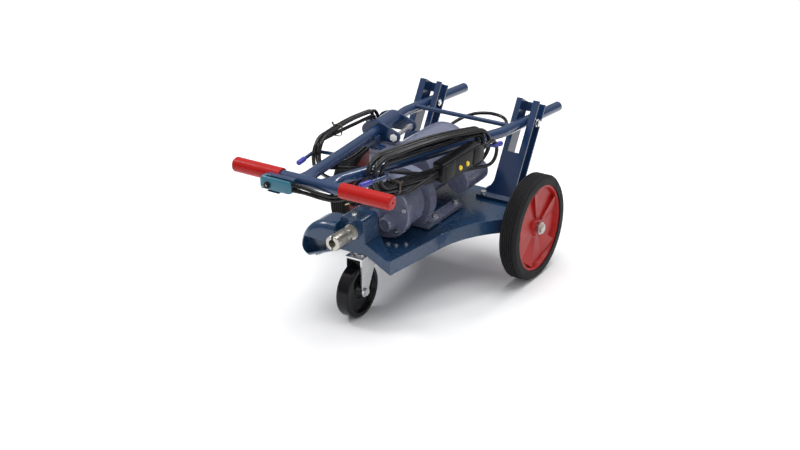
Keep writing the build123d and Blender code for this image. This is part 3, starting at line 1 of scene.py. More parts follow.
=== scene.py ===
import logging
import math
from dataclasses import dataclass
from enum import Enum
from typing import Iterable, Sequence

import bmesh
import bpy
from mathutils import Matrix, Vector


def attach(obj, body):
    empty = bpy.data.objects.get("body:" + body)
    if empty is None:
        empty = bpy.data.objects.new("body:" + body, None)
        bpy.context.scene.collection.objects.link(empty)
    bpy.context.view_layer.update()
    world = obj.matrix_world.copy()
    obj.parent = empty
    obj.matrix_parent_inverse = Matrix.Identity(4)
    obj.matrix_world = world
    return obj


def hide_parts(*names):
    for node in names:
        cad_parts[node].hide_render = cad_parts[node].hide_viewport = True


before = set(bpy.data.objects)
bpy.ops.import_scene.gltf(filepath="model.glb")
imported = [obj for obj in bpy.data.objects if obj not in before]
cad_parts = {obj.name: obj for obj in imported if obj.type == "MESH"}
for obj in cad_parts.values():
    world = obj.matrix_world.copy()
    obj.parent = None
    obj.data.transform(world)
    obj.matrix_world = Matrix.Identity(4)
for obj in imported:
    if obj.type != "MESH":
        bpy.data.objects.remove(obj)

log = logging.getLogger("scene")

Colour = tuple[float, float, float]
Triple = tuple[float, float, float]
Pair = tuple[float, float]
Socket = bpy.types.NodeSocket

MM = 0.001
DRAWING_SHIFT = Vector((147.828, 0.0, 0.0))
CORD_DIAMETER = 8.5


class Body(Enum):
    """The moving bodies that pieces ride on."""

    CHASSIS = "chassis"
    HANDLE = "handle"
    TOGGLE = "toggle"
    TEST_BUTTON = "test_button"
    RESET_BUTTON = "reset_button"


class Grain(Enum):
    """How a surface's fine relief is laid."""

    PEEL = "peel"
    CAST = "cast"
    DRAWN = "drawn"
    MOULDED = "moulded"


# Frames


@dataclass(frozen=True)
class Axes:
    """A set of axes on the machine, in the drawing's millimetres.

    Args:
        origin: Where the axes meet.
        along: Unit vector of the first axis.
        out: Unit vector of the second axis.
        up: Unit vector of the third axis.
    """

    origin: Vector
    along: Vector
    out: Vector
    up: Vector

    def place(self, along: float, out: float, up: float) -> Vector:
        """Find a point given in these axes.

        Args:
            along: Distance on the first axis.
            out: Distance on the second axis.
            up: Distance on the third axis.

        Returns:
            The point in the drawing's millimetres.
        """
        return self.origin + self.along * along + self.out * out + self.up * up

    def at(self, along: float, out: float, up: float) -> Vector:
        """Find a point given in these axes, in the scene's metres.

        Args:
            along: Distance on the first axis, in millimetres.
            out: Distance on the second axis, in millimetres.
            up: Distance on the third axis, in millimetres.

        Returns:
            The point in metres.
        """
        return (self.place(along, out, up) - DRAWING_SHIFT) * MM

    def moved(self, along: float, out: float, up: float) -> "Axes":
        """Carry the axes to another origin.

        Args:
            along: Distance on the first axis.
            out: Distance on the second axis.
            up: Distance on the third axis.

        Returns:
            The moved axes.
        """
        return Axes(self.place(along, out, up), self.along, self.out, self.up)

    def tipped(self, degrees: float) -> "Axes":
        """Turn the axes about the second one, front end down.

        Args:
            degrees: Angle to turn through.

        Returns:
            The turned axes.
        """
        turn = math.radians(degrees)
        along = self.along * math.cos(turn) - self.up * math.sin(turn)
        up = self.along * math.sin(turn) + self.up * math.cos(turn)
        return Axes(self.origin, along, self.out, up)

    def mirrored(self) -> "Axes":
        """Reflect the axes to the machine's other side.

        Returns:
            The reflected axes.
        """
        flip = Matrix.Diagonal((1.0, -1.0, 1.0))
        return Axes(flip @ self.origin, flip @ self.along, flip @ self.out, flip @ self.up)

    def matrix(self) -> Matrix:
        """Give the axes as a transform from millimetres in them to the scene's metres.

        Returns:
            The transform.
        """
        turn = Matrix((self.along, self.out, self.up)).transposed() * MM
        return Matrix.Translation((self.origin - DRAWING_SHIFT) * MM) @ turn.to_4x4()


MACHINE = Axes(Vector((0, 0, 0)), Vector((1, 0, 0)), Vector((0, 1, 0)), Vector((0, 0, 1)))
HANDLE = MACHINE.moved(-151.0, 0.0, 324.0).tipped(-4.58)
TUBE_HALF = 135.0
BEND_AT = 121.0
SPLAY = math.atan2(111.0, 587.0)


def left_tube(station: float, rise: float) -> Axes:
    """Axes on the left handle tube, along it, outwards and up.

    Args:
        station: Distance along the handle from its pivot line.
        rise: Height over the handle's plane.

    Returns:
        The axes.
    """
    half = TUBE_HALF - (station - BEND_AT) * math.tan(SPLAY)
    along = HANDLE.along * math.cos(SPLAY) - HANDLE.out * math.sin(SPLAY)
    out = HANDLE.along * math.sin(SPLAY) + HANDLE.out * math.cos(SPLAY)
    return Axes(HANDLE.place(station, half, rise), along, out, HANDLE.up)


LEFT_HANK = left_tube(409.0, 3.0)
BREAKER = LEFT_HANK.moved(-53.0, 69.05, -8.6).tipped(11.6)
RIGHT_HANK = left_tube(376.0, -5.8).tipped(-2.5).mirrored()
CLAMP_TUBE = left_tube(252.0, 0.0).mirrored()
CLAMP = Axes(CLAMP_TUBE.origin, CLAMP_TUBE.out, CLAMP_TUBE.along, CLAMP_TUBE.up)


# Finishes


class Tree:
    """Writes the node tree of one material."""

    def __init__(self, name: str) -> None:
        """Start a material with its shader and the object's own coordinates.

        Args:
            name: The material's name.
        """
        self.material = bpy.data.materials.new(name)
        self.material.use_nodes = True
        self.nodes = self.material.node_tree.nodes
        self.shader = self.nodes["Principled BSDF"]
        self.place = self.add("ShaderNodeTexCoord").outputs["Object"]

    def add(self, kind: str, **settings: object) -> bpy.types.Node:
        """Add a node.

        Args:
            kind: The node's type.
            **settings: Properties to set on it.

        Returns:
            The new node.
        """
        node = self.nodes.new(kind)
        for key, value in settings.items():
            setattr(node, key, value)
        return node

    def feed(self, node: bpy.types.Node, **inputs: object) -> bpy.types.Node:
        """Set or link a node's inputs, named with underscores for spaces.

        Args:
            node: The node to feed.
            **inputs: Sockets to link, or plain values.

        Returns:
            The same node.
        """
        for key, value in inputs.items():
            socket = node.inputs[key.replace("_", " ")]
            if isinstance(value, Socket):
                self.material.node_tree.links.new(value, socket)
            else:
                socket.default_value = value
        return node

    def noise(self, scale: float, detail: float, stretch: Triple = (1.0, 1.0, 1.0)) -> Socket:
        """Add a noise in the object's own space.

        Args:
            scale: Features for each metre.
            detail: Octaves.
            stretch: Scale for each axis.

        Returns:
            The noise's value.
        """
        place = self.place
        if stretch != (1.0, 1.0, 1.0):
            mapping = self.feed(self.add("ShaderNodeMapping"), Vector=place, Scale=stretch)
            place = mapping.outputs["Vector"]
        node = self.add("ShaderNodeTexNoise")
        self.feed(node, Vector=place, Scale=scale, Detail=detail)
        return node.outputs["Fac"]

    def ramp(self, source: Socket, low: Colour, high: Colour, span: Pair) -> Socket:
        """Turn a value into a blend of two colours.

        Args:
            source: The value.
            low: Colour at the low end.
            high: Colour at the high end.
            span: Values that the ends stand for.

        Returns:
            The colour.
        """
        node = self.add("ShaderNodeValToRGB")
        ends = node.color_ramp.elements
        ends[0].position, ends[1].position = span
        ends[0].color = (*low, 1.0)
        ends[1].color = (*high, 1.0)
        self.feed(node, Fac=source)
        return node.outputs["Color"]

    def span(self, source: Socket, low: float, high: float, start: float = 0.3, end: float = 0.7) -> Socket:
        """Stretch a value over a range.

        Args:
            source: The value.
            low: Result at the start.
            high: Result at the end.
            start: Value at which the range starts.
            end: Value at which it ends.

        Returns:
            The stretched value.
        """
        node = self.add("ShaderNodeMapRange")
        node.inputs["From Min"].default_value = start
        node.inputs["From Max"].default_value = end
        node.inputs["To Min"].default_value = low
        node.inputs["To Max"].default_value = high
        self.feed(node, Value=source)
        return node.outputs["Result"]

    def bump(self, height: Socket, distance: float, normal: Socket | None) -> Socket:
        """Turn a height into a normal.

        Args:
            height: The height's value.
            distance: Its depth in metres.
            normal: Normal to start from.

        Returns:
            The bent normal.
        """
        node = self.feed(self.add("ShaderNodeBump"), Height=height, Distance=distance, Strength=1.0)
        if normal is not None:
            self.feed(node, Normal=normal)
        return node.outputs["Normal"]


@dataclass(frozen=True)
class Finish:
    """One surface finish, made as a procedural material.

    Args:
        name: The material's name.
        base: Main colour.
        tint: Colour that the main one drifts to.
        grain: How the fine relief is laid.
        rough: Least and greatest roughness.
        relief: Depth of the fine relief, in metres.
        metallic: Share of bare metal.
        coat: Weight of a clear gloss over the colour.
        edge: Radius by which sharp edges look softened, in metres.
        edge_highlight: Lighter colour painted along the edges as a highlight, in patches.
        gloss: Level of its clear reflection.
    """

    name: str
    base: Colour
    tint: Colour
    grain: Grain
    rough: Pair
    relief: float = 0.00004
    metallic: float = 0.0
    coat: float = 0.0
    edge: float = 0.0
    edge_highlight: Colour | None = None
    gloss: float = 0.4

    DRIFT_SCALE = 9.0
    ROUGHNESS_SCALE = 38.0
    # Scale of the patches that break up the painted edge highlight.
    HIGHLIGHT_PATCH_SCALE = 60.0
    COAT_ROUGHNESS = 0.10

    def material(self) -> bpy.types.Material:
        """Make the material, or give the one that was made before.

        Returns:
            The material.
        """
        known = bpy.data.materials.get(self.name)
        if known is not None:
            return known
        tree = Tree(self.name)
        drift = tree.noise(self.DRIFT_SCALE, 3.0)
        colour = tree.ramp(drift, self.base, self.tint, (0.35, 0.7))
        fine = self.fine_relief(tree)
        normal = None
        if self.edge > 0.0:
            bevel = tree.add("ShaderNodeBevel", samples=6)
            tree.feed(bevel, Radius=self.edge)
            normal = bevel.outputs["Normal"]
        # Painted highlight: a lighter colour laid along the softened edges.
        if normal is not None and self.edge_highlight is not None:
            colour = self.paint_edge_highlight(tree, normal, colour)
        tree.feed(
            tree.shader,
            Base_Color=colour,
            Roughness=tree.span(tree.noise(self.ROUGHNESS_SCALE, 4.0), *self.rough),
            Metallic=self.metallic,
            Coat_Weight=self.coat,
            Coat_Roughness=self.COAT_ROUGHNESS,
            Specular_IOR_Level=self.gloss,
            Normal=tree.bump(fine, self.relief, normal),
        )
        return tree.material

    def fine_relief(self, tree: Tree) -> Socket:
        """Add the height that the fine relief follows.

        Args:
            tree: The tree to write in.

        Returns:
            The height's value.
        """
        if self.grain is Grain.PEEL:
            return tree.noise(260.0, 1.0)
        if self.grain is Grain.CAST:
            return tree.noise(150.0, 5.0)
        if self.grain is Grain.DRAWN:
            return tree.noise(160.0, 3.0, (0.08, 1.0, 1.0))
        return tree.noise(900.0, 2.0)

    def paint_edge_highlight(self, tree: Tree, normal: Socket, colour: Socket) -> Socket:
        """Paint a lighter colour in patches along edges that stand out, as a highlight where the edges catch
        the light.

        Args:
            tree: The tree to write in.
            normal: The softened normal.
            colour: Colour away from the edges.

        Returns:
            The joined colour.
        """
        geometry = tree.add("ShaderNodeNewGeometry")
        along = tree.add("ShaderNodeVectorMath", operation="DOT_PRODUCT")
        tree.material.node_tree.links.new(normal, along.inputs[0])
        tree.material.node_tree.links.new(geometry.outputs["True Normal"], along.inputs[1])
        edge = tree.span(along.outputs["Value"], 1.0, 0.0, 0.86, 0.97)
        # Noise that breaks the painted edge highlight into patches.
        highlight_patches = tree.span(tree.noise(self.HIGHLIGHT_PATCH_SCALE, 4.0), 0.0, 0.7, 0.4, 0.62)
        both = tree.add("ShaderNodeMath", operation="MULTIPLY")
        tree.material.node_tree.links.new(edge, both.inputs[0])
        tree.material.node_tree.links.new(highlight_patches, both.inputs[1])
        joined = tree.add("ShaderNodeMix", data_type="RGBA")
        tree.material.node_tree.links.new(both.outputs["Value"], joined.inputs["Factor"])
        tree.material.node_tree.links.new(colour, joined.inputs[6])
        joined.inputs[7].default_value = (*self.edge_highlight, 1.0)
        return joined.outputs[2]


# The last colour given to BLUE, CAST_BLUE, VIOLET, TEAL and BLACK is a lighter one, painted along their
# edges as a highlight.
BLUE = Finish("blue_enamel", (0.008, 0.027, 0.082), (0.010, 0.033, 0.096), Grain.PEEL, (0.18, 0.22),
              0.00001, coat=0.4, edge=0.0014, edge_highlight=(0.036, 0.080, 0.170))
CAST_BLUE = Finish("cast_blue_enamel", (0.008, 0.037, 0.095), (0.011, 0.045, 0.110), Grain.PEEL,
                   (0.25, 0.29), 0.000006, coat=0.4, edge=0.0030, edge_highlight=(0.040, 0.100, 0.190))
VIOLET = Finish("violet_grey_enamel", (0.120, 0.130, 0.195), (0.126, 0.137, 0.204), Grain.PEEL,
                (0.25, 0.29), 0.000006, coat=0.4, edge=0.0018, edge_highlight=(0.20, 0.21, 0.30))
TEAL = Finish("teal_enamel", (0.016, 0.120, 0.185), (0.022, 0.140, 0.205), Grain.CAST, (0.26, 0.36),
              0.00005, coat=0.3, edge=0.0012, edge_highlight=(0.06, 0.22, 0.30))
HUB_RED = Finish("hub_red", (0.330, 0.005, 0.004), (0.370, 0.007, 0.006), Grain.MOULDED, (0.32, 0.38),
                 0.00001, edge=0.0015, gloss=0.28)
GRIP_RED = Finish("grip_red", (0.350, 0.006, 0.005), (0.390, 0.008, 0.007), Grain.PEEL, (0.20, 0.25),
                  0.00001, edge=0.0010, gloss=0.25)
TIP_BLUE = Finish("tip_blue", (0.026, 0.028, 0.260), (0.036, 0.038, 0.310), Grain.PEEL, (0.26, 0.38),
                  0.00003, coat=0.3, edge=0.0008)
TYRE = Finish("tyre_rubber", (0.012, 0.012, 0.013), (0.018, 0.018, 0.019), Grain.MOULDED, (0.52, 0.64),
              0.00004, edge=0.0010, gloss=0.1)
BLACK = Finish("black_moulding", (0.004, 0.004, 0.005), (0.007, 0.007, 0.008), Grain.MOULDED, (0.20, 0.26),
               0.00001, edge=0.0010, edge_highlight=(0.030, 0.030, 0.032), gloss=0.22)
CORD = Finish("cord_jacket", (0.006, 0.006, 0.007), (0.010, 0.010, 0.011), Grain.MOULDED, (0.20, 0.25),
              0.000002, gloss=0.3)
STRAP = Finish("strap", (0.060, 0.045, 0.035), (0.080, 0.060, 0.045), Grain.DRAWN, (0.50, 0.65), 0.00006)
ZINC = Finish("bright_zinc", (0.680, 0.690, 0.700), (0.760, 0.765, 0.770), Grain.DRAWN, (0.20, 0.30),
              0.00002, metallic=1.0, edge=0.0006)
DULL_ZINC = Finish("dull_zinc", (0.470, 0.455, 0.410), (0.540, 0.520, 0.470), Grain.DRAWN, (0.34, 0.42),
                   0.00003, metallic=1.0, edge=0.0006)
STEEL = Finish("ground_steel", (0.500, 0.505, 0.515), (0.600, 0.600, 0.605), Grain.DRAWN, (0.18, 0.28),
               0.00002, metallic=1.0, edge=0.0005)
NICKEL = Finish("nickel", (0.460, 0.400, 0.340), (0.520, 0.460, 0.390), Grain.DRAWN, (0.14, 0.22),
                0.00001, metallic=1.0)
YELLOW = Finish("button_yellow", (0.800, 0.560, 0.020), (0.860, 0.620, 0.035), Grain.MOULDED, (0.28, 0.40),
                0.00002, coat=0.3, edge=0.0008)
BRASS = Finish("blade_brass", (0.640, 0.460, 0.190), (0.720, 0.530, 0.240), Grain.DRAWN, (0.22, 0.32),
               0.00002, metallic=1.0)
FLOOR = Finish("paper_floor", (0.870, 0.872, 0.876), (0.880, 0.882, 0.886), Grain.MOULDED, (0.70, 0.85),
               0.00002)

FINISH_OF = {
    BLUE: "left_upright right_upright handle_tube_left handle_tube_right handle_crossbar handle_rods "
          "handle_clamp handle_rest switch_bracket",
    CAST_BLUE: "base_casting",
    VIOLET: "gear_case gear_housing gear_cover motor_housing motor_end_bell capacitor_can terminal_box",
    TEAL: "switch_box",
    HUB_RED: "left_hub right_hub",
    GRIP_RED: "left_grip right_grip",
    TIP_BLUE: "hook_tips",
    TYRE: "left_tyre right_tyre",
    BLACK: "caster_wheel breaker_body plug_body output_seal cooling_fan",
    CORD: "cord_hank_left cord_hank_right switch_lead motor_lead motor_cable crossover_lead plug_lead",
    STRAP: "cord_ties",
    ZINC: "rear_axle caster_fork caster_axle caster_mount pivot_bolts mounting_bolts "
          "cover_screws clamp_bolts bearing_oiler bearing_bush",
    DULL_ZINC: "axle_cap_nuts drive_coupling",
    STEEL: "output_shaft output_gear rotor_shaft shaft_bearings stator rotor_core",
    NICKEL: "switch_toggle",
    YELLOW: "breaker_test_button breaker_reset_button",
    BRASS: "plug_blades",
}


def paint_nodes() -> None:
    """Give every CAD node its finish."""
    for finish, names in FINISH_OF.items():
        for name in names.split():
            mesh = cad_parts[name].data
            mesh.materials.clear()
            mesh.materials.append(finish.material())
            log.info("%s: %s", name, finish.name)


# Solid pieces


class Shape:
    """Collects the surfaces of one piece and makes it an object."""

    def __init__(self, axes: Axes) -> None:
        """Start an empty shape.

        Args:
            axes: Axes that it is drawn in.
        """
        self.axes = axes
        self.mesh = bmesh.new()

    def lathe(self, profile: Sequence[Pair], centre: Triple, line: Triple, steps: int = 32) -> None:
        """Turn a profile about a line.

        Args:
            profile: Distances along the line with the radius at each.
            centre: Point that the distances start from.
            line: Direction of the line.
            steps: Sides of the turned form.
        """
        axis = Vector(line).normalized()
        side = axis.orthogonal().normalized()
        start = Vector(centre)
        verts = [self.mesh.verts.new(start + axis * along + side * radius) for along, radius in profile]
        edges = [self.mesh.edges.new(pair) for pair in zip(verts, verts[1:])]
        bmesh.ops.spin(
            self.mesh,
            geom=verts + edges,
            cent=centre,
            axis=axis,
            angle=2 * math.pi,
            steps=steps,
            use_merge=True,
        )
        bmesh.ops.remove_doubles(self.mesh, verts=self.mesh.verts, dist=0.0005)

    def stack(self, loops: Sequence[Sequence[Triple]], closed: bool = False) -> None:
        """Join loops of points one to the next.

        Args:
            loops: The loops, each with as many points.
            closed: Whether the last joins the first again, which needs no caps.
        """
        rings = [[self.mesh.verts.new(point) for point in loop] for loop in loops]
        pairs = list(zip(rings, rings[1:]))
        if closed:
            pairs.append((rings[-1], rings[0]))
        else:
            self.mesh.faces.new(rings[0])
            self.mesh.faces.new(rings[-1])
        for first, second in pairs:
            for index in range(len(first)):
                after = (index + 1) % len(first)
                self.mesh.faces.new((first[index], first[after], second[after], second[index]))

    def prism(self, outline: Sequence[Pair], low: float, high: float, bevel: float) -> None:
        """Raise an outline of the first and third axes along the second, with rounded edges.

        Args:
            outline: The corners.
            low: Level that it starts at.
            high: Level that it ends at.
            bevel: Width of its rounded edges.
        """
        kept = set(self.mesh.edges)
        self.stack([[(along, level, up) for along, up in outline] for level in (low, high)])
        edges = [edge for edge in self.mesh.edges if edge not in kept]
        bmesh.ops.bevel(
            self.mesh, geom=edges, offset=bevel, segments=3, affect="EDGES", profile=0.5, material=-1
        )

    def hull(self, points: Iterable[Triple]) -> None:
        """Wrap points in the smallest solid without hollows.

        Args:
            points: The points.
        """
        verts = [self.mesh.verts.new(point) for point in points]
        made = bmesh.ops.convex_hull(self.mesh, input=verts)
        spare = [item for item in made["geom_interior"] if isinstance(item, bmesh.types.BMVert)]
        bmesh.ops.delete(self.mesh, geom=spare, context="VERTS")

    def finish(
        self, name: str, finish: Finish, slot: str, body: Body, replaced: Sequence[str] = ()
    ) -> bpy.types.Object:
        """Make the piece.

        Args:
            name: Its name.
            finish: Its finish.
            slot: A material slot name; not used.
            body: Body that it rides on.
            replaced: CAD nodes that it takes the place of.

        Returns:
            The object.
        """
        self.mesh.transform(self.axes.matrix())
        bmesh.ops.recalc_face_normals(self.mesh, faces=self.mesh.faces)
        mesh = bpy.data.meshes.new(name)
        self.mesh.to_mesh(mesh)
        self.mesh.free()
        mesh.shade_smooth()
        mesh.set_sharp_from_angle(angle=math.radians(38))
        mesh.materials.append(finish.material())
        piece = bpy.data.objects.new(name, mesh)
        bpy.context.scene.collection.objects.link(piece)
        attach(piece, body.value)
        if replaced:
            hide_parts(*replaced)
        log.info("%s: %d faces", name, len(mesh.polygons))
        return piece


def oval(width: float, height: float, level: float, middle: Pair, count: int = 24) -> list[Triple]:
    """Draw an oval loop.

    Args:
        width: Its size on the first axis.
        height: Its size on the third axis.
        level: Its place on the second axis.
        middle: Its middle on the first and third axes.
        count: Points.

    Returns:
        The points.
    """
    points = []
    for index in range(count):
        turn = 2 * math.pi * index / count
        along = middle[0] + width / 2 * math.cos(turn)
        points.append((along, level, middle[1] + height / 2 * math.sin(turn)))
    return points


def oblong(low: Pair, high: Pair, corner: float, grow: float) -> list[Pair]:
    """Draw an oblong with rounded corners.

    Args:
        low: Its lowest corner.
        high: Its highest corner.
        corner: Radius of the corners.
        grow: How far the loop lies outside it.

    Returns:
        The points.
    """
    points = []
    steps = 6
    radius = corner + grow
    for quarter, (right, top) in enumerate(((1, 1), (0, 1), (0, 0), (1, 0))):
        across = high[0] - corner if right else low[0] + corner
        up = high[1] - corner if top else low[1] + corner
        for step in range(steps + 1):
            turn = math.pi / 2 * (quarter + step / steps)
            points.append((across + radius * math.cos(turn), up + radius * math.sin(turn)))
    return points


@dataclass(frozen=True)
class BreakerBox:
    """Breaker in the cord, with its two buttons.

    Args:
        length: Length of its case.
        height: Height of its case.
        thick: Thickness of its case.
        relief: Length of the relief at each end.
        button: Width and height of a button.
        buttons: Where each button's middle lies on the outer face.
    """

    length: float = 145.0
    height: float = 45.0
    thick: float = 34.0
    relief: float = 22.0
    button: Pair = (9.5, 12.0)
    buttons: tuple[tuple[Body, str, float, float], ...] = (
        (Body.TEST_BUTTON, "breaker_test_button", 12.0, -6.0),
        (Body.RESET_BUTTON, "breaker_reset_button", -12.0, -6.0),
    )

    def build(self) -> bpy.types.Object:
        """Make the case and the buttons.

        Returns:
            The case.
        """
        end, top, face = self.length / 2, self.height / 2, self.thick / 2
        shape = Shape(BREAKER)
        outline = (
            (-end, -top + 14), (-end + 11, -top), (end - 7, -top), (end, -top + 6),
            (end - 7, top - 3), (end - 11, top), (-end + 9, top), (-end, top - 10),
        )
        shape.prism(outline, -face, face - 2, 2.5)
        front_panel = ((34, -top + 4), (end - 9, -top + 4), (end - 14, top - 5), (24, top - 5))
        rear_panel = ((-end + 14, -top + 4), (-30, -top + 4), (-40, top - 5), (-end + 12, top - 5))
        for panel in (front_panel, rear_panel):
            shape.prism(panel, face - 6, face, 1.2)
        for rib in range(4):
            low = -top + 9 + rib * 7.5
            tip = end - rib * 1.7
            outline = ((end - 8, low), (tip + 0.8, low), (tip - 0.4, low + 4), (end - 8, low + 4))
            shape.prism(outline, -face + 5, face - 7, 0.8)
        for way in (1, -1):
            profile = [(0.0, 0.0), (0.0, 7.5), (5.0, 7.5)]
            for ring in range(4):
                start, crest = 6.0 + ring * 3.6, 7.0 - ring * 0.35
                profile += [(start, 5.6), (start + 1.2, 5.6)]
                profile += [(start + 1.4, crest + 0.1), (start + 3.0, crest)]
            profile += [(self.relief - 1, 5.4), (self.relief, 4.4)]
            shape.lathe(profile, (way * (end - 1), 0, 0), (way, 0, 0))
        case = shape.finish("breaker_case", BLACK, "black_plastic", Body.HANDLE, ("breaker_body",))
        width, height = self.button
        for body, node, along, up in self.buttons:
            cap = Shape(BREAKER)
            rings = ((1.0, face - 5.0), (1.0, face - 0.4), (0.86, face + 1.2), (0.5, face + 1.9))
            cap.stack([oval(width * scale, height * scale, level, (along, up)) for scale, level in rings])
            cap.finish(node + "_cap", YELLOW, "yellow_plastic", body, (node,))
        return case


@dataclass(frozen=True)
class SwitchCase:
    """Rounded switch box in front of the crossbar, with its toggle and the hanger that holds it.

    Args:
        rear: Where its rear face lies, along the machine.
        front: Where its front face lies.
        low: Its far end across the machine and its bottom.
        high: Its near end and its top.
        corner: Radius of its corners.
        toggle: Where the toggle's pivot lies.
    """

    rear: float = 573.9
    front: float = 593.6
    low: Pair = (-108.0, 358.0)
    high: Pair = (-27.0, 388.6)
    corner: float = 9.5
    toggle: Triple = (598.14, -86.0, 370.53)

    BUSHING = (
        (-5, 4.3), (-5, 7.6), (-2, 7.6), (-1.4, 7.0), (-1.4, 6.2),
        (2, 6.2), (2.5, 5.6), (2.5, 4.3), (-5, 4.3),
    )
    LEVER = ((-3.6, 0), (-2.6, 2.6), (0, 3.7), (2.6, 2.6), (3.1, 2.0), (12, 2.5), (14, 2.2), (15, 0))

    def build(self) -> None:
        """Make the box, the bushing, the toggle and the hanger."""
        case, bushing, lever, hanger = (Shape(MACHINE) for _ in range(4))
        rings = (
            (self.rear, -1.5), (self.rear + 1.5, 0.0), (self.front - 6, 0.0),
            (self.front - 2.6, -1.0), (self.front - 0.7, -3.0), (self.front, -6.0),
        )
        loops = []
        for along, grow in rings:
            loops.append([(along, *point) for point in oblong(self.low, self.high, self.corner, grow)])
        case.stack(loops)
        case.finish("switch_case", TEAL, "teal_paint", Body.HANDLE, ("switch_box",))
        bushing.lathe(self.BUSHING, self.toggle, (1, 0, 0))
        bushing.finish("switch_bushing", BLACK, "black_plastic", Body.HANDLE)
        lever.lathe(self.LEVER, self.toggle, (1, 0, 0), 24)
        lever.finish("toggle_lever", NICKEL, "bright_steel", Body.TOGGLE, ("switch_toggle",))
        (far, bottom), (near, top) = self.low, self.high
        back, face = self.rear - 2.5, self.rear - 0.2
        lip, tab = self.front - 4, self.front - 1
        plate = ((back, top + 3.0), (lip, top + 4.6), (lip, top + 2.3), (back, top + 0.7))
        hanger.prism(plate, far + 14, near + 3, 0.8)
        strap = (
            (back, top + 1.5), (back, bottom - 2.7), (tab, bottom - 2.7),
            (tab, bottom - 0.4), (face, bottom - 0.4), (face, top + 1.5),
        )
        hanger.prism(strap, far + 20, far + 50, 0.6)
        hanger.finish("switch_hanger", BLUE, "blue_paint", Body.HANDLE, ("switch_bracket",))


@dataclass(frozen=True)
class TubeClamp:
    """Saddle on the right tube with an end plate at each end.

    Args:
        axes: Axes across the tube, along it and up.
        length: Its length along the tube.
        plate: Thickness of an end plate.
        saddle: Outer and inner radius of the saddle.
        rounds: Middle and radius of each round that an end plate is drawn about.
    """

    axes: Axes
    length: float = 112.0
    plate: float = 7.0
    saddle: Pair = (23.0, 18.0)
    rounds: tuple[Triple, ...] = ((18.0, 1.0, 18.0), (0.0, 1.0, 22.5), (-46.0, -9.0, 13.0))

    def build(self) -> None:
        """Make the saddle and its plates."""
        shape = Shape(self.axes)
        half = self.length / 2
        for start in (-half, half - self.plate):
            loops = [oval(2 * radius, 2 * radius, level, (across, up), 32)
                     for level in (start, start + self.plate) for across, up, radius in self.rounds]
            shape.hull(point for loop in loops for point in loop)
        turns = [math.pi * step / 24 for step in range(25)]
        outer, inner = self.saddle
        arch = [(outer * math.cos(turn), outer * math.sin(turn) + 2) for turn in turns]
        arch += [(inner * math.cos(turn), inner * math.sin(turn) + 2) for turn in reversed(turns)]
        levels = (self.plate - half - 1, half - self.plate + 1)
        shape.stack([[(across, level, up) for across, up in arch] for level in levels])
        shape.finish("tube_clamp", BLUE, "blue_paint", Body.HANDLE, ("handle_clamp",))


@dataclass(frozen=True)
class PivotPins:
    """Bolts that the handle folds on, with a round boss under each head.

    Args:
        pivot: Where the pivot line crosses the left upright's middle.
        web: Distance from there to the outer face of the upright's web.
        boss: Radius and length of the boss.
        shank: Radius of the bolt.
        across: Radius of the head at its corners.
    """

    pivot: Triple = (-151.0, 135.0, 324.0)
    web: float = 19.0
    boss: Pair = (11.5, 9.0)
    shank: float = 4.9
    across: float = 8.9

    def build(self) -> None:
        """Make the bosses and the bolts."""
        bosses, bolts = Shape(MACHINE), Shape(MACHINE)
        radius, length = self.boss
        seat = self.web + length
        head, back = seat + 1.4, -self.web
        for side in (1, -1):
            centre = (self.pivot[0], side * self.pivot[1], self.pivot[2])
            line = (0, side, 0)
            boss = (
                (self.web, self.shank), (self.web, radius + 2), (self.web + 2, radius), (seat - 1.2, radius),
                (seat, radius - 1.2), (seat, self.shank), (self.web, self.shank),
            )
            bosses.lathe(boss, centre, line)
            shank = ((back - 9, 0), (back - 9, self.shank), (seat + 1, self.shank))
            washer = ((seat, 0), (seat, 9.8), (head, 9.8), (head, 0))
            crown = (
                (head, 0), (head, self.across), (seat + 6, self.across),
                (seat + 7.6, self.across * 0.8), (seat + 8, 0),
            )
            nut = ((back - 7, 0), (back - 7, self.across), (back, self.across), (back, 0))
            for profile, sides in ((shank, 20), (washer, 32), (crown, 6), (nut, 6)):
                bolts.lathe(profile, centre, line, sides)
        bosses.finish("pivot_bosses", BLUE, "blue_paint", Body.CHASSIS)
        bolts.finish("pivot_pins", ZINC, "zinc", Body.CHASSIS, ("pivot_bolts",))


class Reliefs:
    """Tapered reliefs where the leads leave the switch box and the motor."""

    PROFILE = (
        (0.0, 4.3), (0.0, 5.7), (3.0, 5.7), (3.6, 5.2), (6.4, 5.1), (7.0, 5.4), (9.4, 5.3), (10.0, 4.9),
        (12.8, 4.9), (13.4, 5.1), (15.8, 5.0), (16.4, 4.7), (22.0, 4.6), (23.0, 4.3), (0.0, 4.3),
    )
    SEAT = 9.0

    def build(self) -> None:
        """Make them."""
        switch, motor = Shape(MACHINE), Shape(MACHINE)
        seat = CordSet.SWITCH_NEAR - self.SEAT
        for height, drop in ((CordSet.LEAD_UPPER, -0.02), (CordSet.LEAD_LOWER, 0.0)):
            switch.lathe(self.PROFILE, (CordSet.SWITCH_X, seat, height), (0, 1, drop))
        motor.lathe(self.PROFILE, CordSet.MOTOR_EXIT, (-1, 0, 0))
        switch.finish("switch_reliefs", BLACK, "black_plastic", Body.HANDLE)
        motor.finish("motor_relief", BLACK, "black_plastic", Body.CHASSIS)


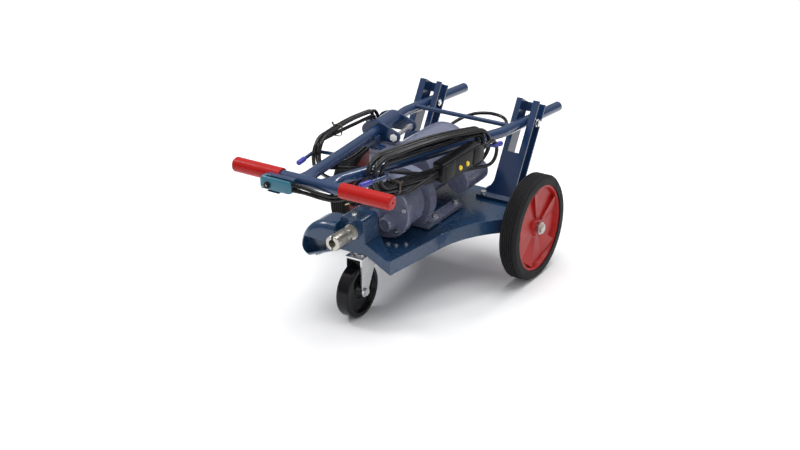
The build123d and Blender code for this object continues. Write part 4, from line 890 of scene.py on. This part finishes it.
@dataclass(frozen=True)
class Tie:
    """Band round some runs of a hank, with its twisted ends.

    Args:
        axes: Axes of the hank.
        along: Where it is on the hank.
        inner: Least distance outwards and height.
        outer: Greatest distance outwards and height.
        corner: Radius of its corners.
    """

    axes: Axes
    along: float
    inner: Pair
    outer: Pair
    corner: float = 5.5

    HALF_WIDTH = 2.6
    THICK = 1.3

    def loop(self, grow: float, level: float) -> list[Triple]:
        """Draw one edge of the band.

        Args:
            grow: How far it lies outside the runs.
            level: Its distance along the hank from the band's middle.

        Returns:
            The points.
        """
        return [(self.along + level, *point) for point in oblong(self.inner, self.outer, self.corner, grow)]

    def draw(self, shape: Shape) -> None:
        """Add the band to a shape.

        Args:
            shape: The shape, drawn in the same axes.
        """
        half, thick = self.HALF_WIDTH, self.THICK
        section = ((0.0, -half), (thick, -half), (thick, half), (0.0, half))
        shape.stack([self.loop(grow, level) for grow, level in section], closed=True)
        for lean in (-0.5, 0.25):
            end = (self.along, self.outer[0] + 0.5, self.outer[1] - 3)
            shape.lathe([(0, 0), (0, 1.5), (9, 1.3), (9.6, 0)], end, (lean, 0.5, 1), 10)


def build_ties() -> None:
    """Tie the loops of each hank."""
    for name, tie, replaced in (
        ("near_tie", Tie(LEFT_HANK, 118.0, (14.4, -50.5), (52.5, -25.0)), ("cord_ties",)),
        ("far_tie", Tie(RIGHT_HANK, 60.0, (33.0, 20.5), (52.4, 45.5)), ()),
    ):
        shape = Shape(tie.axes)
        tie.draw(shape)
        shape.finish(name, STRAP, "black_strap", Body.HANDLE, replaced)


# Cords


@dataclass(frozen=True)
class Hank:
    """Loops of cord wound round two hooks, as control points of a spline.

    Args:
        axes: Axes of the hank: along it, outwards and up.
        length: Distance between the middles of its ends.
        start: Where the first lower run starts.
        half_turns: Half turns wound.
        layers: Layers that they lie in.
        offset: Distance of the first layer's middle from the axes.
        half: Half height of the first turn.
        nest: How much further forward a wider turn lies, for each millimetre of its radius.
        fan: How far the runs spread in the middle, for each millimetre of their height.
    """

    axes: Axes
    length: float
    start: float
    half_turns: int
    layers: int
    offset: float
    half: float
    nest: float
    fan: float

    PITCH = 9.3
    CORE = 26.0
    MEAN = 33.0
    OCTAGON = math.tan(math.pi / 8)

    def points(self) -> list[Vector]:
        """Wind the loops.

        Returns:
            Control points in metres.
        """
        per_layer = self.half_turns // self.layers
        half, inward, layer, way = self.half, True, 0, -1
        begin = self.start
        route: list[Vector] = []
        for run in range(self.half_turns):
            side = way * half
            start_out = self.offset + layer * self.PITCH
            if run and run % per_layer == 0:
                layer += 1
                inward = not inward
            out = self.offset + layer * self.PITCH
            after = half - self.PITCH / 2 if inward else half + self.PITCH / 2
            radius = (half + after) / 2
            corner = radius * self.OCTAGON
            finish = way * (self.length / 2 + (radius - self.MEAN) * self.nest)
            lift = way * ((half - self.CORE) * self.fan + 1.2 * math.sin(2.4 * run))
            along = (begin + way * corner, (begin + finish) / 2, finish - way * corner)
            for place, share, bulge in zip(along, (0.0, 0.5, 1.0), (0.3, 1.0, 0.3)):
                across = start_out + (out - start_out) * share
                route.append(self.axes.at(place, across, side + lift * bulge))
            middle = side - way * radius
            for ahead, aside in ((corner, radius), (radius, corner), (radius, -corner), (corner, -radius)):
                route.append(self.axes.at(finish + way * ahead, out, middle + way * aside))
            half, begin, way = after, finish, -way
        return route


@dataclass(frozen=True)
class Cord:
    """A free cord that takes the place of CAD tubes.

    Args:
        name: Name of the piece.
        body: Body that it rides on.
        points: Control points in metres, from where it leaves the object.
        nodes: CAD nodes that it replaces.
        length: Its real length in metres; not used.
        far_end: What is at its other end; not used.
        lay: How it lies; not used.
        pieces: Objects on it that go with it; not used.
    """

    name: str
    body: Body
    points: Sequence[Vector]
    nodes: Sequence[str]
    length: float
    far_end: str
    lay: str
    pieces: Sequence[bpy.types.Object] = ()

    def build(self) -> bpy.types.Object:
        """Make the cord as one open spline.

        Returns:
            The curve.
        """
        curve = bpy.data.curves.new(self.name, "CURVE")
        curve.dimensions = "3D"
        curve.bevel_depth = CORD_DIAMETER / 2 * MM
        curve.bevel_resolution = 4
        curve.resolution_u = 6
        curve.use_fill_caps = True
        spline = curve.splines.new("NURBS")
        spline.points.add(len(self.points) - 1)
        for control, point in zip(spline.points, self.points):
            control.co = (*point, 1.0)
        spline.order_u = 3
        spline.use_endpoint_u = True
        curve.materials.append(CORD.material())
        piece = bpy.data.objects.new(self.name, curve)
        bpy.context.scene.collection.objects.link(piece)
        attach(piece, self.body.value)
        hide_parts(*self.nodes)
        log.info("%s: %d control points", self.name, len(self.points))
        return piece


class CordSet:
    """The machine's cords: the supply through both hanks, the plug's lead and the motor's lead."""

    SWITCH_X = 583.639
    SWITCH_NEAR = -19.0
    LEAD_UPPER = 380.0
    LEAD_LOWER = 368.4
    RELIEF = 93.5
    MOTOR_EXIT = (-62.0, -52.0, 290.0)

    def __init__(self, breaker: bpy.types.Object) -> None:
        """Take the breaker that the supply ends in.

        Args:
            breaker: The breaker's case.
        """
        self.breaker = breaker
        self.plug = [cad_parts[name] for name in ("plug_body", "plug_blades")]

    def left_hank(self) -> Hank:
        """Describe the loops on the near side.

        Returns:
            The hank.
        """
        return Hank(LEFT_HANK, 302.0, -58.0, 12, 4, 19.5, 40.5, 1.1, 1.0)

    def right_hank(self) -> Hank:
        """Describe the loops on the far side.

        Returns:
            The hank.
        """
        return Hank(RIGHT_HANK, 270.0, 100.0, 6, 2, 38.0, 40.0, 1.1, 1.0)

    def supply_cord(self) -> Cord:
        """Cord from the switch box through the right hank and the left one to the breaker.

        Returns:
            The cord.
        """
        x = self.SWITCH_X
        lead = (
            (x, self.SWITCH_NEAR, self.LEAD_UPPER), (x, 9, 379), (x - 8, 36, 370), (x - 29, 55, 360),
            (522, 60, 356), (488, 46, 353), (462, 18, 350), (445, -22, 345), (426, -58, 339),
        )
        points = [MACHINE.at(*point) for point in lead]
        points.append(RIGHT_HANK.at(165, 38, -38))
        points += self.right_hank().points()
        points += [RIGHT_HANK.at(112, 47.3, -42), RIGHT_HANK.at(68, 47.3, -55)]
        points += [MACHINE.at(266, -88.5, 297), MACHINE.at(268.5, 74, 317), LEFT_HANK.at(-20, 19.5, -40.5)]
        points += self.left_hank().points()
        tail = (
            (60, 47.4, -42), (-72, 47.4, -42), (-145, 57.5, -43), (-180, 58.5, -45.6),
            (-196.5, 58.5, -32.6), (-201.3, 58.5, -12.2), (-192.5, 59.5, 6.9), (-173.8, 63, 16.4),
        )
        points += [LEFT_HANK.at(*point) for point in tail]
        points.append(BREAKER.at(-self.RELIEF, 0, 0))
        nodes = ("switch_lead", "cord_hank_right", "crossover_lead", "cord_hank_left")
        return Cord("supply_cord", Body.HANDLE, points, nodes, 8.05, "connector", "coiled", (self.breaker,))

    def plug_cord(self) -> Cord:
        """Short lead from the breaker's front end to the plug.

        Returns:
            The cord.
        """
        points = [BREAKER.at(self.RELIEF, 0, 0), BREAKER.at(self.RELIEF + 34, 0, 0)]
        run = ((368, 122, 319), (386, 96, 314.5), (387, 64, 310), (385, 34, 297))
        points += [MACHINE.at(*point) for point in run]
        return Cord("plug_cord", Body.HANDLE, points, ("plug_lead",), 0.16, "plug", "hanging", self.plug)

    def motor_cords(self) -> list[Cord]:
        """Lead along the left tube to the pivot line, and the cable on to the motor.

        Returns:
            The two cords.
        """
        x = self.SWITCH_X
        lead = (
            (x, self.SWITCH_NEAR, self.LEAD_LOWER), (x, 9, self.LEAD_LOWER), (573, 34, 360), (551, 53, 350),
            (523, 59, 344), (493, 54, 341), (466, 42, 343), (437, 33, 347), (400, 36, 351),
            (310, 54, 348), (210, 73, 340.5), (110, 92, 332.5), (35, 104, 326), (-25, 107, 320),
            (-62, 104, 315), (-88, 100.5, 313), (-114.4, 100, 315), (-137.6, 86.6, 320),
            (-151, 63.4, 324), (-151, 36, 324),
        )
        cable = (
            (-151, 35.6, 324), (-151, 4, 320), (-146, -25, 309),
            (-129, -46, 297), (-101, -52, 290), self.MOTOR_EXIT,
        )
        cords = []
        for name, body, route, length in (
            ("motor_lead", Body.HANDLE, lead, 0.849),
            ("motor_cable", Body.CHASSIS, cable, 0.16),
        ):
            points = [MACHINE.at(*point) for point in route]
            cords.append(Cord(name + "_cord", body, points, (name,), length, "object", "hanging"))
        return cords

    def build(self) -> None:
        """Make every cord."""
        for cord in (self.supply_cord(), self.plug_cord(), *self.motor_cords()):
            cord.build()


# Studio


@dataclass(frozen=True)
class Lamp:
    """A soft area light.

    Args:
        name: Its name.
        place: Where it hangs.
        aim: Point that it faces.
        size: Side of its square.
        power: Watts.
    """

    name: str
    place: Triple
    aim: Triple
    size: float
    power: float

    def build(self) -> None:
        """Hang the light."""
        data = bpy.data.lights.new(self.name, "AREA")
        data.shape = "SQUARE"
        data.size = self.size
        data.energy = self.power
        lamp = bpy.data.objects.new(self.name, data)
        lamp.location = self.place
        lamp.rotation_euler = (Vector(self.aim) - Vector(self.place)).to_track_quat("-Z", "Y").to_euler()
        bpy.context.scene.collection.objects.link(lamp)


@dataclass(frozen=True)
class Studio:
    """Pale floor, soft light and the camera.

    Args:
        eye: Where the camera stands.
        target: Point on its axis.
        lens: Focal length in millimetres, on a sensor 36 wide.
        shift: Shift of the picture, as a share of its width.
        lamps: The lights.
        ambient: Strength of the light from the sides and from above.
    """

    eye: Triple
    target: Triple
    lens: float
    shift: float
    lamps: Sequence[Lamp]
    ambient: Pair

    HORIZON = (0.15, 0.95)
    SKY = (0.98, 0.985, 1.0, 1.0)
    FLOOR_SIZE = 12.0

    def build(self) -> None:
        """Set the stage."""
        scene = bpy.context.scene
        scene.view_settings.view_transform = "Standard"
        self.build_floor()
        for lamp in self.lamps:
            lamp.build()
        world = bpy.data.worlds.new("studio")
        world.use_nodes = True
        nodes, links = world.node_tree.nodes, world.node_tree.links
        height = nodes.new("ShaderNodeSeparateXYZ")
        rise = nodes.new("ShaderNodeMapRange")
        limits = (*self.HORIZON, *self.ambient)
        for socket, value in zip(("From Min", "From Max", "To Min", "To Max"), limits):
            rise.inputs[socket].default_value = value
        sky = nodes["Background"]
        sky.inputs["Color"].default_value = self.SKY
        links.new(nodes.new("ShaderNodeTexCoord").outputs["Generated"], height.inputs["Vector"])
        links.new(height.outputs["Z"], rise.inputs["Value"])
        links.new(rise.outputs["Result"], sky.inputs["Strength"])
        scene.world = world
        data = bpy.data.cameras.new("camera")
        data.lens = self.lens
        data.sensor_width = 36.0
        data.shift_y = self.shift
        data.clip_end = 60.0
        camera = bpy.data.objects.new("camera", data)
        camera.location = self.eye
        camera.rotation_euler = (Vector(self.target) - Vector(self.eye)).to_track_quat("-Z", "Y").to_euler()
        scene.collection.objects.link(camera)
        scene.camera = camera
        log.info("studio: %d lights", len(self.lamps))

    def build_floor(self) -> None:
        """Lay the floor."""
        shape = bmesh.new()
        bmesh.ops.create_grid(shape, x_segments=4, y_segments=4, size=self.FLOOR_SIZE)
        mesh = bpy.data.meshes.new("floor")
        shape.to_mesh(mesh)
        shape.free()
        mesh.materials.append(FLOOR.material())
        floor = bpy.data.objects.new("floor", mesh)
        bpy.context.scene.collection.objects.link(floor)


STUDIO = Studio(
    eye=(2.7707, 1.7040, 1.5916),
    target=(-0.1600, -0.1394, 0.1062),
    lens=68.09,
    shift=-0.0325,
    lamps=(
        Lamp("overhead", (-0.3, 0.2, 4.2), (0.0, 0.0, 0.0), 3.6, 138.0),
        Lamp("key", (0.8, -2.6, 2.8), (0.0, 0.0, 0.2), 0.6, 42.0),
        Lamp("rim", (-2.2, 0.4, 2.6), (0.0, 0.0, 0.2), 0.5, 14.0),
        Lamp("fill", (2.6, 3.4, 1.7), (0.0, 0.0, 0.2), 1.6, 24.0),
    ),
    ambient=(0.24, 0.85),
)


def main() -> None:
    """Build the looks around the CAD frame."""
    logging.basicConfig(level=logging.INFO, format="%(name)s: %(message)s")
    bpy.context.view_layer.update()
    STUDIO.build()
    paint_nodes()
    CordSet(BreakerBox().build()).build()
    build_ties()
    SwitchCase().build()
    TubeClamp(CLAMP).build()
    PivotPins().build()
    Reliefs().build()


if __name__ == "__main__":
    main()
